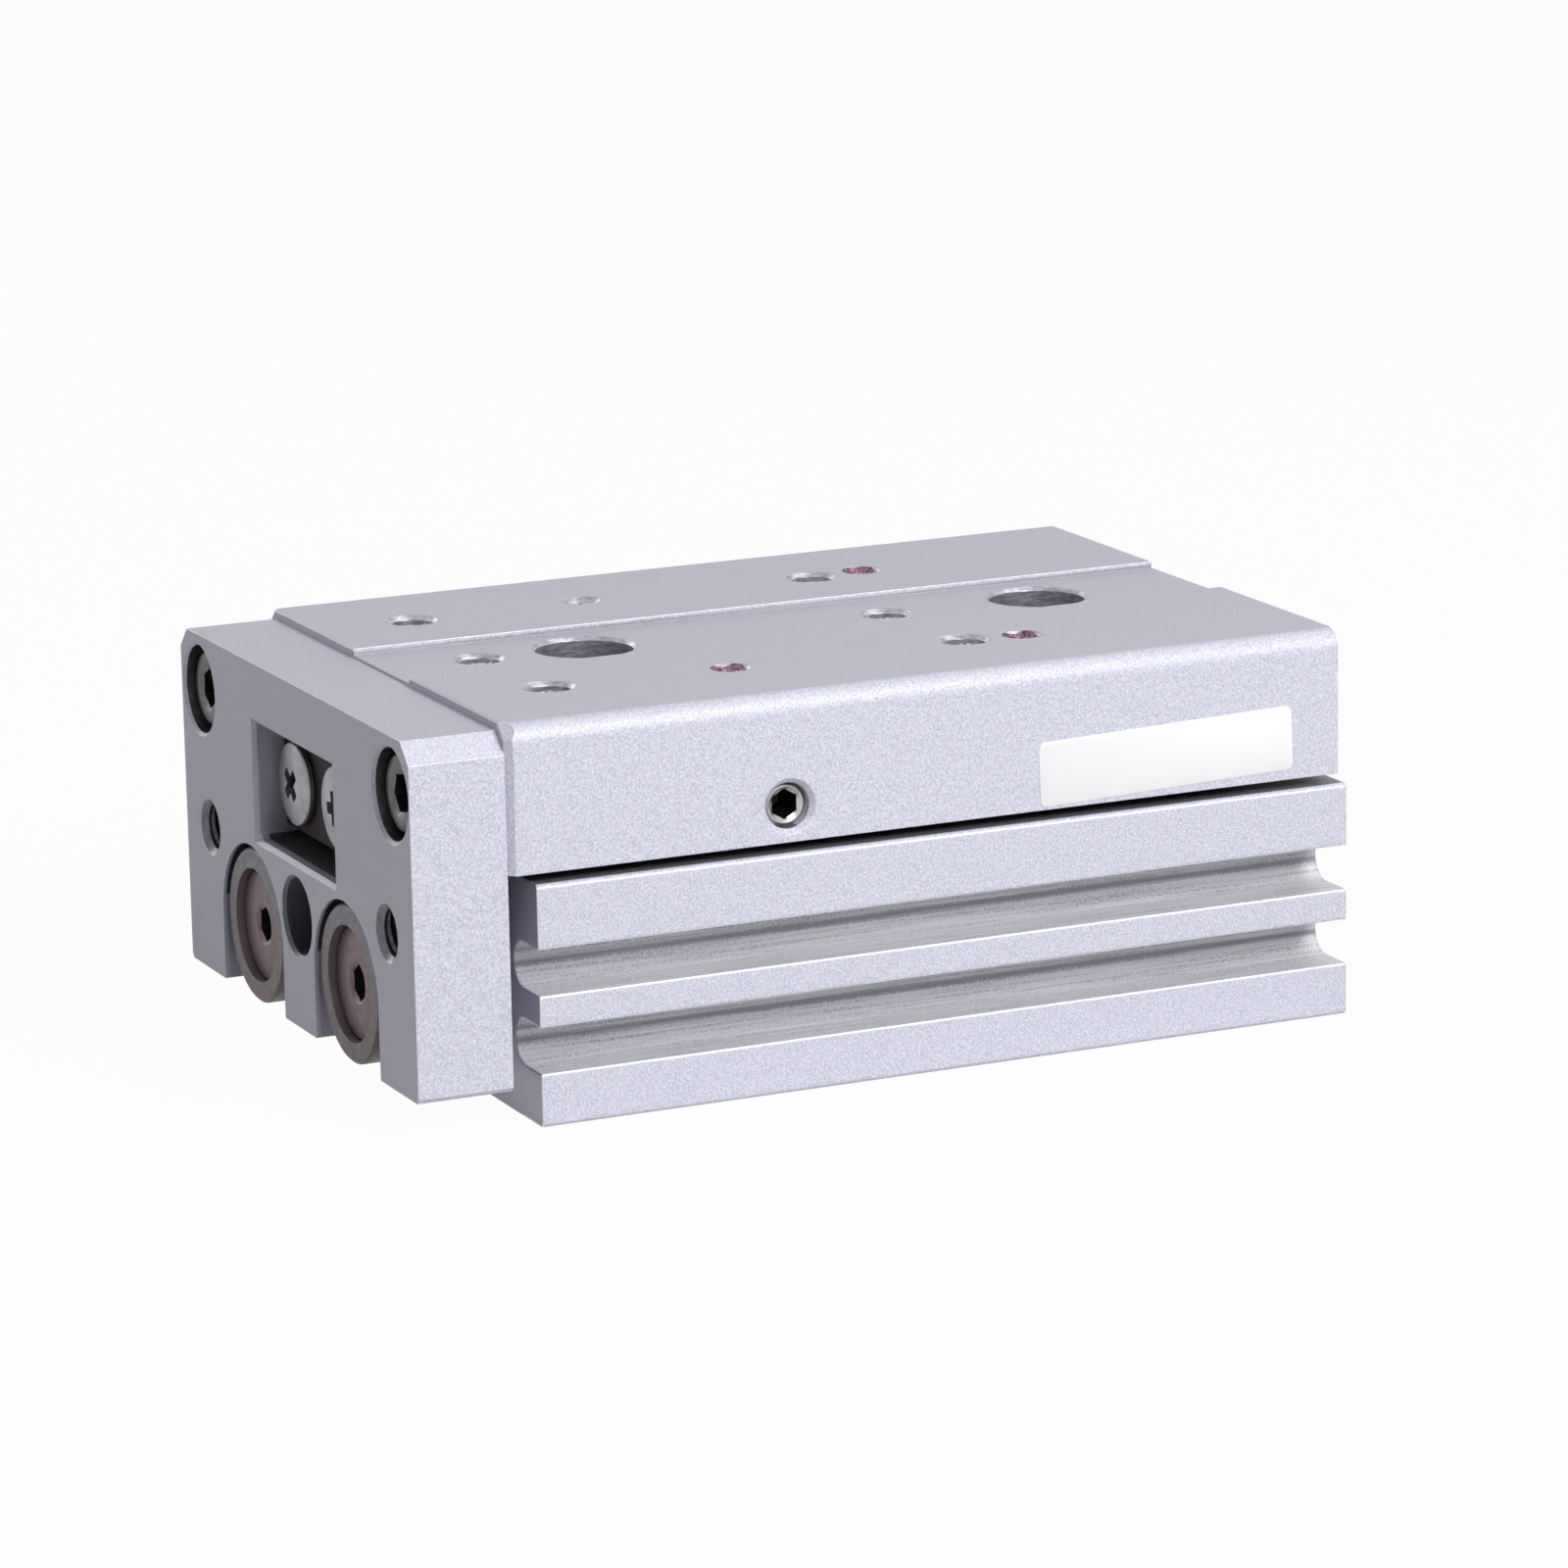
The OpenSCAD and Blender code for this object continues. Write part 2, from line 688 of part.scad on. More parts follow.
// Blank sticker on the +X side of the table, stuck on slightly askew.
module side_label() place() color("#f4f4f2") {
    label_l = 31.2;
    label_h = 7.2;
    translate([table_w / 2, 89.8, 32.4]) rotate([1.6, 0, 0])
        translate([0, -label_l / 2, -label_h / 2]) cube([(body_w - table_w) / 2, label_l, label_h]);
}

// ---- Roller cages ----------------------------------------------------------------

// Turns a cylinder along +Z to a roller's slant at the +X groove; slant is 1 or -1.
module roller_at(index, d, h) {
    slant = (index % 2 == 0) ? 45 : -45;
    translate([roller_x, cage_mid + (index - (roller_count - 1) / 2) * roller_pitch, roller_z])
        rotate([0, slant, 0]) translate([0, 0, -h / 2]) cylinder(d = d, h = h, $fn = 32);
}

module cage() {
    difference() {
        translate([roller_x - cage_t / 2, cage_mid - cage_l / 2, roller_z - cage_h / 2])
            cube([cage_t, cage_l, cage_h]);
        for (index = [0 : roller_count - 1])
            roller_at(index, roller_d + 0.3, 12);
    }
}

module rollers() {
    for (index = [0 : roller_count - 1])
        roller_at(index, roller_d, roller_d - 0.1);
}

module right_cage() place() color("#b08a4a") cage();

module left_cage() place() color("#b08a4a") mirror([1, 0, 0]) cage();

module right_rollers() place() color("#a6a6aa") rollers();

module left_rollers() place() color("#a6a6aa") mirror([1, 0, 0]) rollers();

cylinder_body();
guide_block();
guide_block_screws();
front_roller_stop();
front_stop_screws();
rear_roller_stop();
rear_stop_screws();
rod_covers();
rod_seals();
cover_o_rings();
front_snap_rings();
head_caps();
cap_o_rings();
rear_snap_rings();
front_bumpers();
rear_bumpers();
table();
end_plate();
end_plate_screws();
left_rail();
right_rail();
rail_screws();
preload_screw();
floating_bushes();
bush_collars();
rod_end_screws();
piston_rods();
pistons();
piston_seals();
piston_magnets();
side_label();
left_cage();
left_rollers();
right_cage();
right_rollers();
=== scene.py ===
import math
import bmesh
import bpy
from mathutils import Matrix, Vector


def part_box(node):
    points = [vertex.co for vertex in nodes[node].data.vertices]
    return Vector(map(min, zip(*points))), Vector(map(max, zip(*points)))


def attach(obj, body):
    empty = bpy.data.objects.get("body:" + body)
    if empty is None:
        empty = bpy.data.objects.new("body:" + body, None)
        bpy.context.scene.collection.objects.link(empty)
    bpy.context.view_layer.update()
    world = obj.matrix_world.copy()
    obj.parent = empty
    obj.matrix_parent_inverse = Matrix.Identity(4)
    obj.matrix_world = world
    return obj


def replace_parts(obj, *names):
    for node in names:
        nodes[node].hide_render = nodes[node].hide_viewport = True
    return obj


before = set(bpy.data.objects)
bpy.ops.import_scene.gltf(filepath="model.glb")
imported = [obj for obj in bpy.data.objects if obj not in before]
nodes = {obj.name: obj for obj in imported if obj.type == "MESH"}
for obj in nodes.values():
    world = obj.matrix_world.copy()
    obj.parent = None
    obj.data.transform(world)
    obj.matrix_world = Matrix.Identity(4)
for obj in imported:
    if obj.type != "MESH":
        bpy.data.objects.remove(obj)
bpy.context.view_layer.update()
MM = 0.001


# ---- Cylinder body ---------------------------------------------------------------
# One block of extruded 6000-series aluminium with two bores, two sensor slots along
# its right side and two air ports on the left. It is bead blasted and clear anodised,
# then screwed to the machine from below or through the access holes in the table.

# Anodised faces as blasted and as milled, and edges painted near white as a highlight.
BLAST_LIGHT = "#e7e7f4"
BLAST_SHADE = "#c1c1d2"
MILLED_LIGHT = "#cdccdb"
MILLED_SHADE = "#c0bfce"
EDGE_LIGHT = "#fbfbff"
EDGE_SHADE = "#d9d9e4"

# Drawn slot walls with bands of painted shade, drilled holes, painted shade for the gap
# under the table and for hollows, and thread lock.
DRAWN_LIGHT = "#e4e4e8"
DRAWN_DARK_AND_SHADE = "#a2a2aa"
BARE_LIGHT = "#c4c4ce"
BARE_DARK = "#868692"
PAINTED_SHADE_LIGHT = "#7c7b84"
PAINTED_SHADE_DARK = "#66656e"
LOCK_TINT = "#a27d93"
LOCK_TINT_DARK = "#2c1624"

# The beads are 0.1 to 0.2 mm and a tool's feed marks are finer still. Both are drawn
# coarser than that, so that they show.
BLAST_GRAIN = 0.24 * MM
BLAST_DEPTH = 0.03 * MM
MILLED_GRAIN = 0.3 * MM
TOOL_STREAK = 0.28 * MM
EDGE_SOFTNESS = 0.14 * MM
BODY_SOFTNESS = 0.5 * MM

ANODISED_METAL = 0.12
# Edges with the painted highlight are this much more metallic.
EDGE_HIGHLIGHT_METAL = 0.5
BARE_METAL = 0.8
BARE_ROUGH = 0.36
BARE_DEPTH_SHARE = 0.3
ANODISED_ROUGH = {"To Min": 0.5, "To Max": 0.38}

# Blasting shows on faces that turn to the side, out past SIDE_FROM and in the table's groove.
SIDE_SLOPE = {"From Min": 0.12, "From Max": 0.3}
SIDE_FROM = 30 * MM
GROOVE_WALL = (8.4 * MM, 9 * MM)

# An edge gets a painted highlight where its softened face bends this far away from the flat one.
HIGHLIGHT_BEND = {"From Min": 0.935, "From Max": 0.86}
HIGHLIGHT_RAGGED = 0.06

# The die's lines run along the slots, with four bands of painted shade: height, and
# reach to each side.
DIE_STRETCH = (1.0, 0.015, 1.0)
SLOT_SHADE_BANDS = ((7.9 * MM, 0.5 * MM), (9.4 * MM, 0.35 * MM),
             (16.4 * MM, 0.5 * MM), (17.9 * MM, 0.35 * MM))

# Noise keeps mostly within such limits, which are stretched to 0 and 1.
NOISE = {"From Min": 0.32, "From Max": 0.68}
HARD_NOISE = {"From Min": 0.35, "From Max": 0.65}
SOFT_NOISE = {"From Min": 0.3, "From Max": 0.7}
FAINT_NOISE = {"From Min": 0.28, "From Max": 0.72}

# Limits of a zone: a face's slope along an axis is 1 where it looks straight that way.
LOOKS_ALONG = (0.9, 2)
LOOKS_ACROSS = (-1, 0.9)
FAR = 1.0

# A Mix node repeats its sockets' names for each kind of value, so they go by number.
NUMBER_A, NUMBER_B = 2, 3
COLOUR_A, COLOUR_B, COLOUR_OUT = 6, 7, 2

# Threads: M6, and the air ports' 1/8 inch pipe thread.
M6_MINOR_R = 2.55 * MM
M6_PITCH = 1.0 * MM
M6_CREST = 0.28 * MM
M6_LEAD_IN = 0.9 * MM
PIPE_MINOR_R = 4.3 * MM
PIPE_PITCH = 0.907 * MM
PIPE_CREST = 0.3 * MM
PIPE_LEAD_IN = 0.7 * MM
THREAD_FLECK = 0.35 * MM
THREAD_STEPS = 36
THREAD_FADE_TURNS = 0.6
THREAD_BURIED = 0.03 * MM

MOUNTING_HOLE_Y = (-20.7 * MM, 35.3 * MM)
MOUNTING_THREAD_L = 12 * MM
PORT_Y = (-5.2 * MM, 41.7 * MM)
PORT_Z = 12.5 * MM
PORT_THREAD_L = 6.6 * MM


def linear(code):
    """An sRGB hex colour as linear RGBA."""
    parts = [int(code[i:i + 2], 16) / 255 for i in (1, 3, 5)]
    return [c / 12.92 if c <= 0.04045 else ((c + 0.055) / 1.055) ** 2.4 for c in parts] + [1.0]


def add(tree, kind, links=None, **settings):
    """Adds one shader node. Each link gives a socket another node's output or a plain value."""
    made = tree.nodes.new("ShaderNode" + kind)
    for name, value in settings.items():
        setattr(made, name, value)
    for socket, value in (links or {}).items():
        if isinstance(value, bpy.types.NodeSocket):
            tree.links.new(value, made.inputs[socket])
        else:
            made.inputs[socket].default_value = value
    return made


def start_material(name, metallic, specular=0.5):
    """A new material: it, its node tree, its shader, and the place in the part's own metres."""
    material = bpy.data.materials.new(name)
    material.use_nodes = True
    tree = material.node_tree
    shader = tree.nodes["Principled BSDF"]
    shader.inputs["Metallic"].default_value = metallic
    shader.inputs["Specular IOR Level"].default_value = specular
    place = add(tree, "TexCoord").outputs["Object"]
    return material, tree, shader, place


def finish_surface(tree, shader, colour, roughness, height, depth, softness=EDGE_SOFTNESS,
                   edge=None):
    """Links colour, roughness and a relief of a given depth, over edges softened as deburred
    metal is."""
    edge = edge or add(tree, "Bevel", {"Radius": softness}, samples=6).outputs["Normal"]
    bump = add(tree, "Bump", {"Height": height, "Distance": depth, "Normal": edge})
    tree.links.new(colour, shader.inputs["Base Color"])
    tree.links.new(roughness, shader.inputs["Roughness"])
    tree.links.new(bump.outputs["Normal"], shader.inputs["Normal"])


def in_zones(tree, measures, zones):
    """1 where every measure named in one of the zones lies inside its range there, else 0."""
    anywhere = 0.0
    for ranges in zones:
        share = 1.0
        for measure, (low, high) in ranges.items():
            over = add(tree, "Math", {0: measures[measure], 1: low},
                       operation="GREATER_THAN").outputs[0]
            under = add(tree, "Math", {0: measures[measure], 1: high},
                        operation="LESS_THAN").outputs[0]
            both = add(tree, "Math", {0: over, 1: under}, operation="MULTIPLY").outputs[0]
            share = add(tree, "Math", {0: share, 1: both}, operation="MULTIPLY").outputs[0]
        anywhere = add(tree, "Math", {0: anywhere, 1: share}, operation="MAXIMUM").outputs[0]
    return anywhere


def anodised_aluminium(name, bore_streaks, bare_zones, drawn_and_shaded_zones=(), painted_shade_zones=(),
                       locked_zones=(), bare_or_shade_colours=(BARE_LIGHT, BARE_DARK), painted_shade_bands=(),
                       softness=EDGE_SOFTNESS, rim_highlight=0.0):
    """Clear anodised aluminium: the blasted sides sparkle in pale grains, and the milled faces
    are smoother and a shade darker. Drawn walls have long lines with bands of painted shade,
    faces in the gap under the table and in hollows get painted shade, and edges get a painted
    highlight. Drilled holes are bare metal ringed by the tool, some with pink thread lock, and
    some in darker colours as painted shade."""
    material, tree, shader, place = start_material(name, metallic=ANODISED_METAL, specular=0.3)
    at = add(tree, "SeparateXYZ", {0: place}).outputs
    slope = add(tree, "SeparateXYZ", {0: add(tree, "TexCoord").outputs["Normal"]}).outputs
    measures = {"y": at["Y"], "z": at["Z"], "x": at["X"]}
    for measure, source in (("side", at["X"]), ("slope x", slope["X"]),
                            ("slope y", slope["Y"]), ("slope z", slope["Z"])):
        measures[measure] = add(tree, "Math", {0: source}, operation="ABSOLUTE").outputs[0]
    measures["side and z"] = add(tree, "Math", {0: measures["side"], 1: at["Z"]}).outputs[0]

    # Blasted sides and milled faces.
    outer = in_zones(tree, measures, [{"side": (SIDE_FROM, FAR)}, {"side": GROOVE_WALL}])
    blasted = add(tree, "MapRange", {"Value": measures["slope x"], **SIDE_SLOPE,
                                     "To Max": outer}).outputs["Result"]
    grain = add(tree, "TexNoise", {"Vector": place, "Scale": 1 / BLAST_GRAIN,
                                   "Detail": 2.0}).outputs["Fac"]
    grain = add(tree, "MapRange", {"Value": grain, **NOISE}).outputs["Result"]
    sparkle = add(tree, "Mix", {0: grain, COLOUR_A: linear(BLAST_LIGHT),
                                COLOUR_B: linear(BLAST_SHADE)},
                  data_type="RGBA").outputs[COLOUR_OUT]
    fine = add(tree, "TexNoise", {"Vector": place, "Scale": 1 / MILLED_GRAIN,
                                  "Detail": 3.0}).outputs["Fac"]
    fine = add(tree, "MapRange", {"Value": fine, **SOFT_NOISE}).outputs["Result"]
    milled = add(tree, "Mix", {0: fine, COLOUR_A: linear(MILLED_LIGHT),
                               COLOUR_B: linear(MILLED_SHADE)},
                 data_type="RGBA").outputs[COLOUR_OUT]
    colour = add(tree, "Mix", {0: blasted, COLOUR_A: milled, COLOUR_B: sparkle},
                 data_type="RGBA").outputs[COLOUR_OUT]
    roughness = add(tree, "MapRange", {"Value": grain, **ANODISED_ROUGH}).outputs["Result"]
    height = add(tree, "Math", {0: grain, 1: blasted}, operation="MULTIPLY").outputs[0]

    # Lines drawn by the die with bands of painted shade, then painted shade for the gap
    # under the table and for hollows.
    stretch = add(tree, "Mapping", {"Vector": place, "Scale": DIE_STRETCH}).outputs["Vector"]
    die_lines = add(tree, "TexNoise", {"Vector": stretch, "Scale": 1 / TOOL_STREAK,
                                       "Detail": 2.0}).outputs["Fac"]
    die_lines = add(tree, "MapRange", {"Value": die_lines, **HARD_NOISE}).outputs["Result"]
    lines = add(tree, "Math", {0: die_lines, 1: grain}, operation="MULTIPLY").outputs[0]
    # Bands of painted shade darken the walls at given heights.
    for band_z, reach in painted_shade_bands:
        away = add(tree, "Math", {0: at["Z"], 1: band_z}, operation="SUBTRACT").outputs[0]
        away = add(tree, "Math", {0: away}, operation="ABSOLUTE").outputs[0]
        shade_band = add(tree, "MapRange", {"Value": away, "From Max": reach, "To Min": 1.0,
                                      "To Max": 0.0}).outputs["Result"]
        lines = add(tree, "Math", {0: lines, 1: shade_band}, operation="ADD",
                    use_clamp=True).outputs[0]
    drawn_and_shaded = add(tree, "Mix", {0: lines, COLOUR_A: linear(DRAWN_LIGHT),
                              COLOUR_B: linear(DRAWN_DARK_AND_SHADE)},
                data_type="RGBA").outputs[COLOUR_OUT]
    along = in_zones(tree, measures, drawn_and_shaded_zones)
    colour = add(tree, "Mix", {0: along, COLOUR_A: colour, COLOUR_B: drawn_and_shaded},
                 data_type="RGBA").outputs[COLOUR_OUT]
    # Painted shade darkens faces in the gap between body and table and in the plate's bore.
    film = add(tree, "Mix", {0: fine, COLOUR_A: linear(PAINTED_SHADE_LIGHT),
                             COLOUR_B: linear(PAINTED_SHADE_DARK)},
               data_type="RGBA").outputs[COLOUR_OUT]
    painted_shade_mask = in_zones(tree, measures, painted_shade_zones)
    colour = add(tree, "Mix", {0: painted_shade_mask, COLOUR_A: colour, COLOUR_B: film},
                 data_type="RGBA").outputs[COLOUR_OUT]

    # Painted highlights on edges, fully so on the sides and less on rims elsewhere, but
    # none on drawn walls.
    edge = add(tree, "Bevel", {"Radius": softness}, samples=8).outputs["Normal"]
    flat = add(tree, "NewGeometry").outputs["Normal"]
    bend = add(tree, "VectorMath", {0: edge, 1: flat}, operation="DOT_PRODUCT").outputs["Value"]
    bend = add(tree, "Math", {0: grain, 1: -HIGHLIGHT_RAGGED, 2: bend},
               operation="MULTIPLY_ADD").outputs[0]
    on_rims = add(tree, "MapRange", {"Value": outer, "To Min": rim_highlight}).outputs["Result"]
    edge_highlight = add(tree, "MapRange", {"Value": bend, **HIGHLIGHT_BEND,
                                  "To Max": on_rims}).outputs["Result"]
    not_drawn = add(tree, "Math", {0: 1.0, 1: along}, operation="SUBTRACT").outputs[0]
    edge_highlight = add(tree, "Math", {0: edge_highlight, 1: not_drawn}, operation="MULTIPLY").outputs[0]
    edge_highlight_colour = add(tree, "Mix", {0: grain, COLOUR_A: linear(EDGE_LIGHT),
                                COLOUR_B: linear(EDGE_SHADE)},
                  data_type="RGBA").outputs[COLOUR_OUT]
    colour = add(tree, "Mix", {0: edge_highlight, COLOUR_A: colour, COLOUR_B: edge_highlight_colour},
                 data_type="RGBA").outputs[COLOUR_OUT]

    # Drilled holes, and the thread lock in some of them. Darker bare colours, where given,
    # are painted shade.
    ringed = add(tree, "Mapping", {"Vector": place, "Scale": bore_streaks}).outputs["Vector"]
    rings = add(tree, "TexNoise", {"Vector": ringed, "Scale": 1 / TOOL_STREAK,
                                   "Detail": 3.0}).outputs["Fac"]
    rings = add(tree, "MapRange", {"Value": rings, **FAINT_NOISE}).outputs["Result"]
    bare_or_shaded = add(tree, "Mix", {0: rings, COLOUR_A: linear(bare_or_shade_colours[0]),
                             COLOUR_B: linear(bare_or_shade_colours[1])},
               data_type="RGBA").outputs[COLOUR_OUT]
    lock = add(tree, "Mix", {0: fine, COLOUR_A: linear(LOCK_TINT),
                             COLOUR_B: linear(LOCK_TINT_DARK)},
               data_type="RGBA").outputs[COLOUR_OUT]
    locked = in_zones(tree, measures, locked_zones)
    bare_or_shaded = add(tree, "Mix", {0: locked, COLOUR_A: bare_or_shaded, COLOUR_B: lock},
               data_type="RGBA").outputs[COLOUR_OUT]
    cut = in_zones(tree, measures, bare_zones)
    colour = add(tree, "Mix", {0: cut, COLOUR_A: colour, COLOUR_B: bare_or_shaded},
                 data_type="RGBA").outputs[COLOUR_OUT]
    roughness = add(tree, "Mix", {0: cut, NUMBER_A: roughness,
                                  NUMBER_B: BARE_ROUGH}).outputs[0]
    shallow = add(tree, "Math", {0: rings, 1: BARE_DEPTH_SHARE}, operation="MULTIPLY").outputs[0]
    height = add(tree, "Mix", {0: cut, NUMBER_A: height, NUMBER_B: shallow}).outputs[0]
    metal = add(tree, "MapRange", {"Value": cut, "To Min": ANODISED_METAL,
                                   "To Max": BARE_METAL}).outputs["Result"]
    metal = add(tree, "Math", {0: edge_highlight, 1: EDGE_HIGHLIGHT_METAL, 2: metal}, operation="MULTIPLY_ADD",
                use_clamp=True).outputs[0]
    tree.links.new(metal, shader.inputs["Metallic"])
    finish_surface(tree, shader, colour, roughness, height, BLAST_DEPTH, edge=edge)
    return material


def bare_cut_metal(name, light, dark, rough, metallic=1.0):
    """A thread's flanks as the tap left them: bright bare metal with torn flecks, which are
    drawn coarser than they are."""
    material, tree, shader, place = start_material(name, metallic=metallic)
    flecks = add(tree, "TexNoise", {"Vector": place, "Scale": 1 / THREAD_FLECK,
                                    "Detail": 3.0}).outputs["Fac"]
    flecks = add(tree, "MapRange", {"Value": flecks, **HARD_NOISE}).outputs["Result"]
    colour = add(tree, "Mix", {0: flecks, COLOUR_A: linear(light), COLOUR_B: linear(dark)},
                 data_type="RGBA").outputs[COLOUR_OUT]
    roughness = add(tree, "MapRange", {"Value": flecks, "To Min": rough,
                                       "To Max": rough + 0.15}).outputs["Result"]
    finish_surface(tree, shader, colour, roughness, flecks, 0.01 * MM, softness=0.05 * MM)
    return material


def dress(node, material):
    """Gives a CAD node its finish."""
    piece = nodes[node]
    piece.data.materials.clear()
    piece.data.materials.append(material)


def finish_mesh(name, bm, *materials, sharp_angle=32):
    """Turns a bmesh into a piece with smooth faces and crisp edges."""
    bmesh.ops.recalc_face_normals(bm, faces=bm.faces)
    for face in bm.faces:
        face.smooth = True
    for edge in bm.edges:
        if len(edge.link_faces) == 2:
            edge.smooth = edge.calc_face_angle() < math.radians(sharp_angle)
    mesh = bpy.data.meshes.new(name)
    bm.to_mesh(mesh)
    bm.free()
    for material in materials:
        mesh.materials.append(material)
    piece = bpy.data.objects.new(name, mesh)
    bpy.context.scene.collection.objects.link(piece)
    return piece


def facing(point, outward, turn=0):
    """The matrix that stands a piece drawn along +Z at a point, facing outward and turned by
    some degrees about that axis."""
    aim = Vector(outward).to_track_quat("Z", "Y").to_matrix().to_4x4()
    return Matrix.Translation(Vector(point)) @ aim @ Matrix.Rotation(math.radians(turn), 4, "Z")


def tapped_thread(name, holes, minor_r, pitch, depth, crest_height, material):
    """The thread's crests in like tapped holes: a ridge that winds down each hole and fades
    out at both ends. Its foot is buried a little in the wall."""
    bm = bmesh.new()
    root = minor_r + THREAD_BURIED
    fade_steps = THREAD_STEPS * THREAD_FADE_TURNS
    for mouth, outward in holes:
        stand = facing(mouth, outward)
        previous = None
        total = int(depth / pitch * THREAD_STEPS)
        for i in range(total + 1):
            angle = 2 * math.pi * i / THREAD_STEPS
            down = -depth * i / total
            fade = min(1.0, i / fade_steps, (total - i) / fade_steps)
            crest = minor_r - crest_height * fade
            # The ridge's corners: a radius, and an offset along the axis in pitches.
            section = []
            for radius, offset in ((root, 0.42), (crest, 0.09), (crest, -0.09), (root, -0.42)):
                spot = (radius * math.cos(angle), radius * math.sin(angle),
                        down + offset * pitch * max(fade, 0.05))
                section.append(bm.verts.new(stand @ Vector(spot)))
            if previous:
                for k in range(4):
                    j = (k + 1) % 4
                    bm.faces.new((previous[k], previous[j], section[j], section[k]))
            else:
                bm.faces.new(section)
            previous = section
        bm.faces.new(previous[::-1])
    return finish_mesh(name, bm, material, sharp_angle=50)


body_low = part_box("cylinder_body")[0]
ports = {"x": (-FAR, -28 * MM), "side": (0, 35.4 * MM), "slope x": LOOKS_ACROSS,
         "y": (-12 * MM, 49 * MM), "z": (6 * MM, 19 * MM)}
mounting_holes = {"side": (0, 28 * MM), "z": (0.4 * MM, 24 * MM), "slope z": LOOKS_ACROSS,
                  "slope y": LOOKS_ACROSS}
sensor_slots = {"x": (28.7 * MM, 35.55 * MM), "z": (5.8 * MM, 19.5 * MM),
                "slope y": LOOKS_ACROSS}
# The body's top under the table is darkened with painted shade, for the gap between them.
guide_seat = {"z": (24 * MM, FAR), "slope z": LOOKS_ALONG, "side": (0, 35.3 * MM)}
body_finish = anodised_aluminium(
    "clear_anodised_body", bore_streaks=(0.05, 1.0, 1.0), bare_zones=[ports, mounting_holes],
    drawn_and_shaded_zones=[sensor_slots], painted_shade_zones=[guide_seat], painted_shade_bands=SLOT_SHADE_BANDS,
    softness=BODY_SOFTNESS)
dress("cylinder_body", body_finish)

thread_finish = bare_cut_metal("tapped_bare_aluminium", "#e6e6ec", "#5c5c63", 0.25,
                               metallic=0.85)
threads = tapped_thread("body_mounting_threads",
                        [((0, y, M6_LEAD_IN), (0, 0, -1)) for y in MOUNTING_HOLE_Y],
                        M6_MINOR_R, M6_PITCH, MOUNTING_THREAD_L, M6_CREST, thread_finish)
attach(threads, "base")
threads = tapped_thread("air_port_threads",
                        [((body_low.x + PIPE_LEAD_IN, y, PORT_Z), (-1, 0, 0)) for y in PORT_Y],
                        PIPE_MINOR_R, PIPE_PITCH, PORT_THREAD_L, PIPE_CREST, thread_finish)
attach(threads, "base")


# ---- Guide block, its screws and roller stops --------------------------------------
# A hardened steel block with a ground V groove down each side, screwed to the middle
# of the body. A black oxide plate across each end keeps the rollers in, held by two
# zinc plated cross-recess screws.

STEEL_GROUND = "#8f8f94"
STEEL_GROUND_DARK = "#7c7c82"
BLACK_OXIDE = "#140e11"
BLACK_OXIDE_WORN = "#2e1d24"
ZINC = "#a5a4a8"
ZINC_DULL = "#87868b"
DARK_PLATED = "#69696b"
DARK_PLATED_LOW = "#505053"
# Socket walls, dark for oil and dirt and as painted shade.
SOCKET_BLACK = "#2c2b2e"
SOCKET_OILY_SHADE = "#1c1b1e"
GRINDING_LINE = 0.25 * MM
PLATING_CLOUD = 2.2 * MM
PLATING_GRAIN = 0.2 * MM
PLATING_SKIN_SHARE = 0.35
KNURL_DEPTH = 0.09 * MM
KNURL_TEETH = 36
STOP_SCREW_X = 6.65 * MM
STOP_SCREW_Z = 30 * MM
STOP_SCREW_HEAD_H = 1.3 * MM
STOP_SCREW_REACH = 8 * MM


def ground_steel(name, light, dark, line=GRINDING_LINE, rough=0.3, stretch=(1, 0.02, 1)):
    """Ground tool steel: grey metal with straight lines along the wheel's travel. A real
    grinding line is finer, and it is drawn coarser so that it shows."""
    material, tree, shader, place = start_material(name, metallic=1.0)
    along = add(tree, "Mapping", {"Vector": place, "Scale": stretch}).outputs["Vector"]
    lines = add(tree, "TexNoise", {"Vector": along, "Scale": 1 / line,
                                   "Detail": 3.0}).outputs["Fac"]
    lines = add(tree, "MapRange", {"Value": lines, **NOISE}).outputs["Result"]
    colour = add(tree, "Mix", {0: lines, COLOUR_A: linear(light), COLOUR_B: linear(dark)},
                 data_type="RGBA").outputs[COLOUR_OUT]
    roughness = add(tree, "MapRange", {"Value": lines, "To Min": rough,
                                       "To Max": rough + 0.14}).outputs["Result"]
    finish_surface(tree, shader, colour, roughness, lines, 0.01 * MM)
    return material


def plated_steel(name, light, dark, rough, patch=PLATING_CLOUD, metallic=0.9, specular=0.5):
    """Plated or oxidised steel: metal with soft clouds in the plating and a fine skin."""
    material, tree, shader, place = start_material(name, metallic=metallic, specular=specular)
    clouds = add(tree, "TexNoise", {"Vector": place, "Scale": 1 / patch,
                                    "Detail": 3.0}).outputs["Fac"]
    clouds = add(tree, "MapRange", {"Value": clouds, **NOISE, "To Max": 0.8}).outputs["Result"]
    skin = add(tree, "TexNoise", {"Vector": place, "Scale": 1 / PLATING_GRAIN,
                                  "Detail": 2.0}).outputs["Fac"]
    skin = add(tree, "MapRange", {"Value": skin, **NOISE}).outputs["Result"]
    share = add(tree, "Math", {0: skin, 1: PLATING_SKIN_SHARE, 2: clouds},
                operation="MULTIPLY_ADD", use_clamp=True).outputs[0]
    colour = add(tree, "Mix", {0: share, COLOUR_A: linear(light), COLOUR_B: linear(dark)},
                 data_type="RGBA").outputs[COLOUR_OUT]
    roughness = add(tree, "MapRange", {"Value": skin, "To Min": rough,
                                       "To Max": rough + 0.12}).outputs["Result"]
    finish_surface(tree, shader, colour, roughness, skin, 0.004 * MM, softness=0.1 * MM)
    return material


